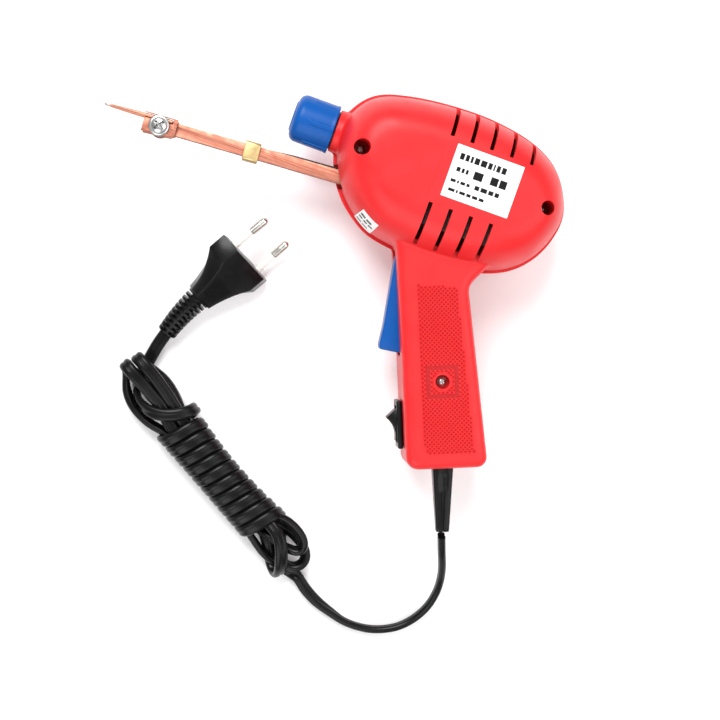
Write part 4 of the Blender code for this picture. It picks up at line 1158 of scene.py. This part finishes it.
def plug_body(place):
    """The six-sided body, flared towards the pins, with a ribbed pad on each broad face."""
    neck = catmull([
        (-8.3, 17.6, 10.8, 6.85), (-11.5, 14.6, 9.2, 6.6), (-15.0, 11.9, 7.8, 6.2), (-19.0, 9.3, 6.6, 5.8),
        (-23.5, 7.3, 5.6, 5.3), (-PLUG_BODY_LENGTH, 6.2, 5.0, 4.8),
    ], 4)
    stations = [(0.0, 17.6, 10.8, 6.85)] + [tuple(row) for row in neck]
    rings = []
    for x, ridge, top, half in stations:
        upper = [(x, ridge, 0.0), (x, top, half), (x, -top, half)]
        rings.append(upper + [(x, -y, -z) for _, y, z in upper])
    body = loft("plug_body_shell", rings, place=place)
    soften(body, 0.25, 2, 12.0)
    pieces = [body]
    for side in (1.0, -1.0):
        for i in range(PAD_RIBS):
            x = PAD_START - PAD_PITCH * i
            share = (x + 15.0) / -9.0
            half = PAD_HALF[0] + (PAD_HALF[1] - PAD_HALF[0]) * share
            wide = 5.2 - 0.13 * i
            along = (x - PAD_PITCH * 0.3, x + PAD_PITCH * 0.3)
            heights = sorted((side * (half - 0.6), side * (half + 0.34)))
            pieces.append(box(f"pad_{side}_{i}", along, (-wide, wide), heights, place=place))
    stand_for(joined("plug_body_fine", pieces), "housing", "black_pvc", "plug_body")


def plug_relief():
    """The ribbed sleeve behind the plug: a core, separate ribs round it, and a spine along each side."""
    back = PLUG_FRONT - PLUG_LEVEL * (PLUG_BODY_LENGTH + GAP)
    bend = back - PLUG_LEVEL * 10.0
    steps = 180
    path = []
    for i in range(steps + 1):
        t = i / steps
        path.append(back * (1.0 - t) ** 2 + bend * 2.0 * t * (1.0 - t) + RELIEF_END * t * t)

    def section(i):
        t = i / steps
        wave = abs((t * RELIEF_RIBS) % 1.0 - 0.5) * 2.0
        rib = smooth_step((wave - 0.46) / 0.14)
        wide, high = 6.0 - 1.3 * t, 4.9 - 0.1 * t
        ring = []
        for step in range(48):
            angle = 2.0 * math.pi * step / 48
            spine = smooth_step((abs(math.sin(angle)) - 0.93) / 0.05)
            reach = 0.56 + 0.44 * max(rib, 0.8 * spine)
            blunt = (abs(math.cos(angle)) ** 3.0 + abs(math.sin(angle)) ** 3.0) ** (-1.0 / 3.0)
            out = reach * blunt * 0.97
            ring.append((wide * out * math.cos(angle), high * out * math.sin(angle)))
        return ring

    stand_for(tube("plug_relief_fine", path, section), "housing", "black_pvc", "plug_relief")


def plug_pins(place):
    for i, sign in enumerate((1.0, -1.0)):
        root = Vector((GAP, sign * PIN_SPACING / 2.0, 0.0))
        heading = Vector((19.0, sign * PIN_TIP_SPACING / 2.0, 0.0)) - root
        turn = Matrix.Rotation(math.atan2(heading.y, heading.x), 4, "Z")
        pin_place = place @ Matrix.Translation(root) @ turn
        sleeve_profile = [(0.0, 1.3), (0.0, 1.95), (2.5, 1.95), (2.8, 1.6), (9.6, 1.5), (9.7, 1.3)]
        tube_piece = turned(f"plug_pin_sleeve_{i + 1}_fine", sleeve_profile, None, True, 48, pin_place, 25.0)
        stand_for(tube_piece, "housing", "sleeve", f"plug_pin_sleeve_{i + 1}")
        angles = np.linspace(0.0, math.pi / 2.0, 10)
        nose = [(16.9 + 1.95 * math.sin(angle), 2.0 * math.cos(angle) + 0.02) for angle in angles]
        pin_profile = [(0.0, 1.25), (9.8, 1.25), (9.8, 1.9), (9.95, 2.0)] + nose
        pin = turned(f"plug_pin_{i + 1}_fine", pin_profile, None, False, 48, pin_place, 30.0)
        stand_for(pin, "housing", "nickel", f"plug_pin_{i + 1}")


def fittings():
    lamp_cap()
    screws()
    band()
    tip()
    refined("secondary_bar", "housing", "copper", 0.35, 3)
    for node in ("tip_clamp_plate_upper", "tip_clamp_plate_lower"):
        refined(node, "housing", "copper", 0.15, 2)
    refined("arm_insulator", "housing", "fibre", 0.3)
    refined("trigger", "trigger_body", "blue_plastic", 0.25, 2)
    refined("power_switch_case", "housing", "black_plastic", 0.2, 2)
    refined("power_switch_rocker", "rocker_body", "black_plastic", 0.25, 2)
    trigger_spring()
    strain_relief()
    place = plug_frame()
    plug_body(place)
    plug_relief()
    plug_pins(place)


# ---------------------------------------------------------------- the cord

def cord_section():
    """A flat strip with rounded edges and a fine groove down each broad face, as (across, out)."""
    radius = CORD_THICK / 2.0
    core = CORD_WIDTH / 2.0 - radius
    groove, depth = CORD_GROOVE
    half = [(core + radius * math.sin(a), radius * math.cos(a)) for a in np.linspace(math.pi, 0.0, 9)]
    half += [(core * 0.6, radius), (groove * 1.6, radius * 0.99), (groove * 0.8, radius - depth * 0.8)]
    half.append((0.0, radius - depth))
    return half + [(-across, -out) for across, out in half]


def wrap_rows():
    """The cord's turns round the hank, from its upper left end. They slant on top and run straight below."""
    rows = []
    per_turn = 24
    for i in range(round(WRAPS * per_turn) + 1):
        turn = i / per_turn
        angle = math.pi - 2.0 * math.pi * turn
        across = math.copysign(abs(math.cos(angle)) ** (2.0 / WRAP_POWER), math.cos(angle))
        up = math.copysign(abs(math.sin(angle)) ** (2.0 / WRAP_POWER), math.sin(angle))
        share = turn % 1.0
        slant = WRAP_SLANT * min(share * 2.0, 1.0) + (WRAP_PITCH - WRAP_SLANT) * max(share * 2.0 - 1.0, 0.0)
        along = WRAP_FIRST + WRAP_PITCH * (turn // 1.0) + slant
        waist = (2.0 * turn / WRAPS - 1.0) ** 2.0
        q = WRAP_MIDDLE[0] + WRAP_WAIST[1] * waist + (WRAP_HALF[0] + WRAP_WAIST[0] * waist) * across
        z = WRAP_MIDDLE[1] + WRAP_HALF[1] * up
        rows.append(((along, q, z), (0.0, across, up)))
    return rows


def hank_rows():
    """The cord's way through the hank, as (along, across, up) places and broad-face directions."""
    runs_in = [
        ((123.0, -6.0, 2.4), (0.0, -0.5, 0.9)), ((116.0, -8.6, 3.6), (0.0, -0.9, 0.5)),
        ((108.5, -9.4, 5.6), LEFT), ((98.0, -8.2, 8.0), LEFT), ((88.0, -6.6, 9.5), LEFT),
        ((66.0, -6.6, 9.5), LEFT),
        ((48.0, -6.8, 9.5), LEFT), ((36.1, -7.0, 9.0), (0.0, -1.0, -0.3)),
        ((31.1, -8.6, 8.6), (0.0, -1.0, -0.4)),
        ((26.5, -9.8, 8.2), (0.0, -1.0, -0.4)), ((20.8, -10.2, 7.8), (0.0, -1.0, -0.4)),
        ((15.5, -9.5, 7.6), (-0.2, -1.0, -0.4)),
        ((10.6, -7.6, 7.4), (-0.5, -0.8, -0.3)), ((7.4, -5.4, 7.4), (-0.8, -0.5, 0.0)),
        ((4.6, -3.0, 7.6), (-0.8, -0.4, 0.1)), ((2.2, -1.0, 8.6), (-0.9, -0.3, 0.2)),
        ((0.7, -0.1, 10.8), (-0.95, 0.0, 0.3)), ((0.9, 0.3, 13.2), (-0.8, 0.0, 0.6)),
        ((3.4, 0.3, 15.1), (-0.3, 0.0, 0.95)), ((8.0, 0.3, 15.4), UP), ((14.0, 0.5, 15.2), UP),
        ((20.0, 0.2, 14.5), UP), ((26.0, 0.2, 13.6), UP), ((34.5, -2.4, 12.9), UP), ((44.0, -3.0, 13.2), UP),
        ((66.0, -3.0, 13.2), UP), ((86.0, -1.5, 13.4), UP), ((96.6, 2.0, 14.6), UP), ((101.7, 2.6, 16.0), UP),
        ((106.3, 1.8, 17.0), UP), ((111.0, -0.8, 17.0), UP), ((115.1, -4.2, 15.6), (0.3, 0.0, 0.95)),
        ((118.2, -7.4, 12.6), (0.8, -0.2, 0.6)), ((119.9, -9.6, 8.6), (0.95, -0.3, 0.1)),
        ((119.0, -10.8, 5.4), (0.8, -0.3, -0.6)), ((115.6, -9.8, 3.0), (0.3, -0.2, -0.95)),
        ((110.0, -7.0, 2.6), DOWN), ((104.0, -3.6, 4.2), DOWN), ((96.0, -1.0, 7.6), DOWN),
        ((86.0, 0.0, 9.5), DOWN),
        ((66.0, 0.0, 9.5), DOWN), ((48.0, 1.0, 9.5), (0.0, 0.3, -0.9)), ((38.0, 4.5, 9.3), (0.0, 0.8, -0.5)),
        ((30.7, 7.0, 9.0), RIGHT), ((26.0, 8.4, 8.4), RIGHT), ((21.4, 9.2, 7.8), RIGHT),
        ((16.8, 9.3, 7.4), RIGHT),
        ((11.0, 8.2, 7.4), (-0.3, 0.95, 0.0)), ((5.6, 6.8, 8.4), (-0.8, 0.5, 0.0)),
        ((1.8, 6.2, 10.8), (-0.95, 0.1, 0.2)), ((2.2, 6.4, 13.4), (-0.8, 0.0, 0.6)),
        ((5.8, 6.6, 15.3), (-0.2, 0.0, 1.0)), ((12.1, 6.6, 15.4), UP), ((20.5, 6.0, 14.8), UP),
        ((29.6, 4.6, 13.8), UP), ((36.4, 3.2, 13.0), UP), ((46.0, 3.1, 13.2), UP), ((66.0, 3.1, 13.2), UP),
        ((84.0, 4.0, 13.2), (0.0, 0.3, 0.95)), ((93.0, 6.2, 13.0), (0.0, 0.7, 0.7)),
        ((98.7, 7.4, 13.0), (0.0, 0.95, 0.0)), ((102.8, 9.0, 13.0), (0.0, 1.0, -0.5)),
        ((108.4, 9.8, 13.0), (0.0, 1.0, -0.7)), ((114.0, 9.2, 12.6), (0.4, 0.9, -0.7)),
        ((117.4, 7.2, 12.0), (0.85, 0.5, -0.7)), ((118.2, 4.6, 11.4), (0.95, -0.3, -0.5)),
        ((116.0, 2.2, 10.8), (0.5, -0.85, -0.4)), ((112.0, 0.6, 10.2), (0.1, -1.0, -0.2)),
        ((106.0, -1.6, 9.4), (0.1, -1.0, 0.1)),
        ((99.0, -2.9, 7.6), (0.0, -0.8, -0.5)), ((88.0, -3.0, 5.8), DOWN), ((66.0, -3.0, 5.8), DOWN),
        ((46.0, -3.0, 5.8), DOWN), ((36.0, -2.0, 4.6), (0.0, -0.8, -0.5)), ((28.0, -0.6, 3.6), LEFT),
        ((20.6, 0.0, 3.4), (-0.3, -0.95, 0.0)), ((16.4, 2.8, 3.4), (-0.95, 0.0, 0.0)),
        ((20.6, 5.6, 3.4), (-0.3, 0.95, 0.0)), ((28.0, 6.0, 3.4), RIGHT),
        ((36.0, 5.0, 4.6), (0.0, 0.8, -0.5)),
        ((46.0, 3.0, 5.8), DOWN), ((66.0, 3.0, 5.8), DOWN), ((88.0, 3.0, 5.8), (0.0, 0.4, -0.9)),
        ((99.0, 4.4, 6.4), (0.0, 0.9, -0.4)), ((108.0, 6.4, 6.8), (0.0, 1.0, -0.5)),
        ((115.0, 7.0, 6.8), (0.0, 1.0, -0.6)), ((120.4, 6.0, 6.8), (0.5, 0.85, -0.6)),
        ((123.4, 3.2, 6.8), (0.95, 0.3, -0.6)), ((123.8, -0.6, 6.8), (0.95, -0.3, -0.6)),
        ((121.6, -3.6, 6.6), (0.6, -0.8, -0.5)),
        ((117.6, -4.8, 6.2), (0.1, -1.0, 0.0)), ((112.4, -3.0, 5.0), (-0.3, -0.95, 0.0)),
        ((108.4, 1.0, 3.0), (-0.3, -0.5, -0.8)), ((104.6, 5.6, 2.0), DOWN),
    ]
    wraps = wrap_rows()[::-1]
    swing = [
        ((38.6, -10.0, 7.0), (0.0, -1.0, -0.2)), ((38.4, -7.0, 2.6), (0.0, -0.6, -0.8)),
        ((38.0, 0.0, 1.9), DOWN),
        ((37.4, 7.0, 2.4), (0.0, 0.5, -0.85)), ((37.0, 10.6, 6.4), RIGHT), ((36.8, 11.0, 11.0), RIGHT),
        ((36.4, 9.2, 15.6), (0.0, 0.6, 0.8)), ((34.8, 5.6, 17.2), UP), ((32.3, 1.6, 17.4), UP),
        ((28.9, -2.2, 16.8), (-0.1, -0.2, 1.0)), ((25.1, -4.8, 15.2), (-0.1, -0.5, 0.85)),
        ((21.2, -6.0, 12.8), (0.0, -0.8, 0.6)), ((17.4, -6.0, 10.2), (0.1, -1.0, 0.3)),
        ((13.7, -4.4, 7.4), (-0.4, -0.9, 0.3)), ((11.0, -1.6, 5.0), (-0.6, -0.4, 0.7)),
        ((8.9, 2.6, 3.6), (-0.3, 0.0, 0.95)), ((6.9, 7.6, 3.5), UP),
    ]
    return runs_in + wraps + swing


def cord_rows():
    """The whole route in millimetres: the place and the broad face's direction at each control point."""
    rows = []
    for i, place in enumerate(CORD_LEAD):
        ahead = Vector(CORD_LEAD[min(i + 1, len(CORD_LEAD) - 1)]) - Vector(CORD_LEAD[max(i - 1, 0)])
        side = ahead.cross(Vector(UP)).normalized()
        lying = min(max(0.0, (i - LEAD_FLAT_FROM) / 4.0), LEAD_FLAT_MOST)
        rows.append((*place, *(side * (1.0 - 0.75 * lying) + Vector(UP) * lying)))
    for (along, across, up), face in hank_rows():
        place = HANK_START + HANK_ALONG * along + HANK_ACROSS * across + Vector((0.0, 0.0, up))
        rows.append((*place, *(HANK_ALONG * face[0] + HANK_ACROSS * face[1] + Vector((0.0, 0.0, face[2])))))
    for place in CORD_TAIL:
        rows.append((*place, *UP))
    rows = np.array(rows)
    for before, here in zip(rows, rows[1:]):
        if before[3:] @ here[3:] < 0.0:
            here[3:] *= -1.0
    return rows


def cord():
    rows = even_steps(catmull(cord_rows(), 8), CORD_STEP)
    for _ in range(2):
        rows[1:-1] = (rows[:-2] + 2.0 * rows[1:-1] + rows[2:]) / 4.0
    path = rows[:, :3]
    section = cord_section()
    ahead = np.gradient(path, axis=0)
    ahead /= np.linalg.norm(ahead, axis=1)[:, None]
    face = rows[:, 3:] - (rows[:, 3:] * ahead).sum(1)[:, None] * ahead
    face /= np.linalg.norm(face, axis=1)[:, None]
    side = np.cross(ahead, face)
    rings = [
        [tuple(here + sideways * across + outward * out) for across, out in section]
        for here, sideways, outward in zip(path, side, face)
    ]
    piece = loft("mains_cord", rings, MATERIALS["black_pvc"], 60.0)
    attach(piece, "housing")
    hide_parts("cord_lead", "cord_hank", "cord_tail")
    return piece, path * MM


# ---------------------------------------------------------------- the studio

def studio():
    floor_surface = Surface("floor", (0.93, 0.93, 0.935), 0.6)
    floor_surface.shader.inputs["Emission Color"].default_value = (1.0, 1.0, 1.0, 1.0)
    floor_surface.shader.inputs["Emission Strength"].default_value = FLOOR_GLOW
    patches = floor_surface.remap(floor_surface.noise(60.0, 2.0), 0.4, 0.7, 0.0, 0.1)
    floor_surface.tint(patches, (0.9, 0.9, 0.91))
    across = (-FLOOR_HALF, FLOOR_HALF)
    corners = [(x, y, 0.0) for x, y in rectangle(across, across)]
    floor = add_mesh("floor", corners, [(0, 1, 2, 3)], floor_surface.material)
    floor.location.z = CAD_BOX[0].z

    camera_data = bpy.data.cameras.new("camera")
    camera_data.lens = CAMERA_LENS
    camera_data.clip_end = 20.0
    camera = linked("camera", camera_data)
    camera.location = CAMERA_PLACE
    camera.rotation_euler = [math.radians(angle) for angle in CAMERA_TURN]
    bpy.context.scene.camera = camera

    for name, place, size, power in LAMPS:
        light = bpy.data.lights.new(name, "AREA")
        light.shape = "DISK"
        light.size = size
        light.energy = power
        lamp = linked(name, light)
        lamp.location = place
        lamp.rotation_euler = (LAMP_TARGET - Vector(place)).to_track_quat("-Z", "Y").to_euler()

    world = bpy.data.worlds.new("studio")
    world.use_nodes = True
    background = world.node_tree.nodes["Background"]
    background.inputs["Color"].default_value = (1.0, 1.0, 1.0, 1.0)
    background.inputs["Strength"].default_value = WORLD_LIGHT
    bpy.context.scene.world = world
    bpy.context.scene.view_settings.view_transform = "Standard"


dress_cad_nodes()
studio()
cord_piece, cord_path = cord()
cover("upper_cover", 1)
cover("lower_cover", -1)
hatching("upper_grip", 1)
hatching("lower_grip", -1)
rating_label()
seam_label()
fittings()
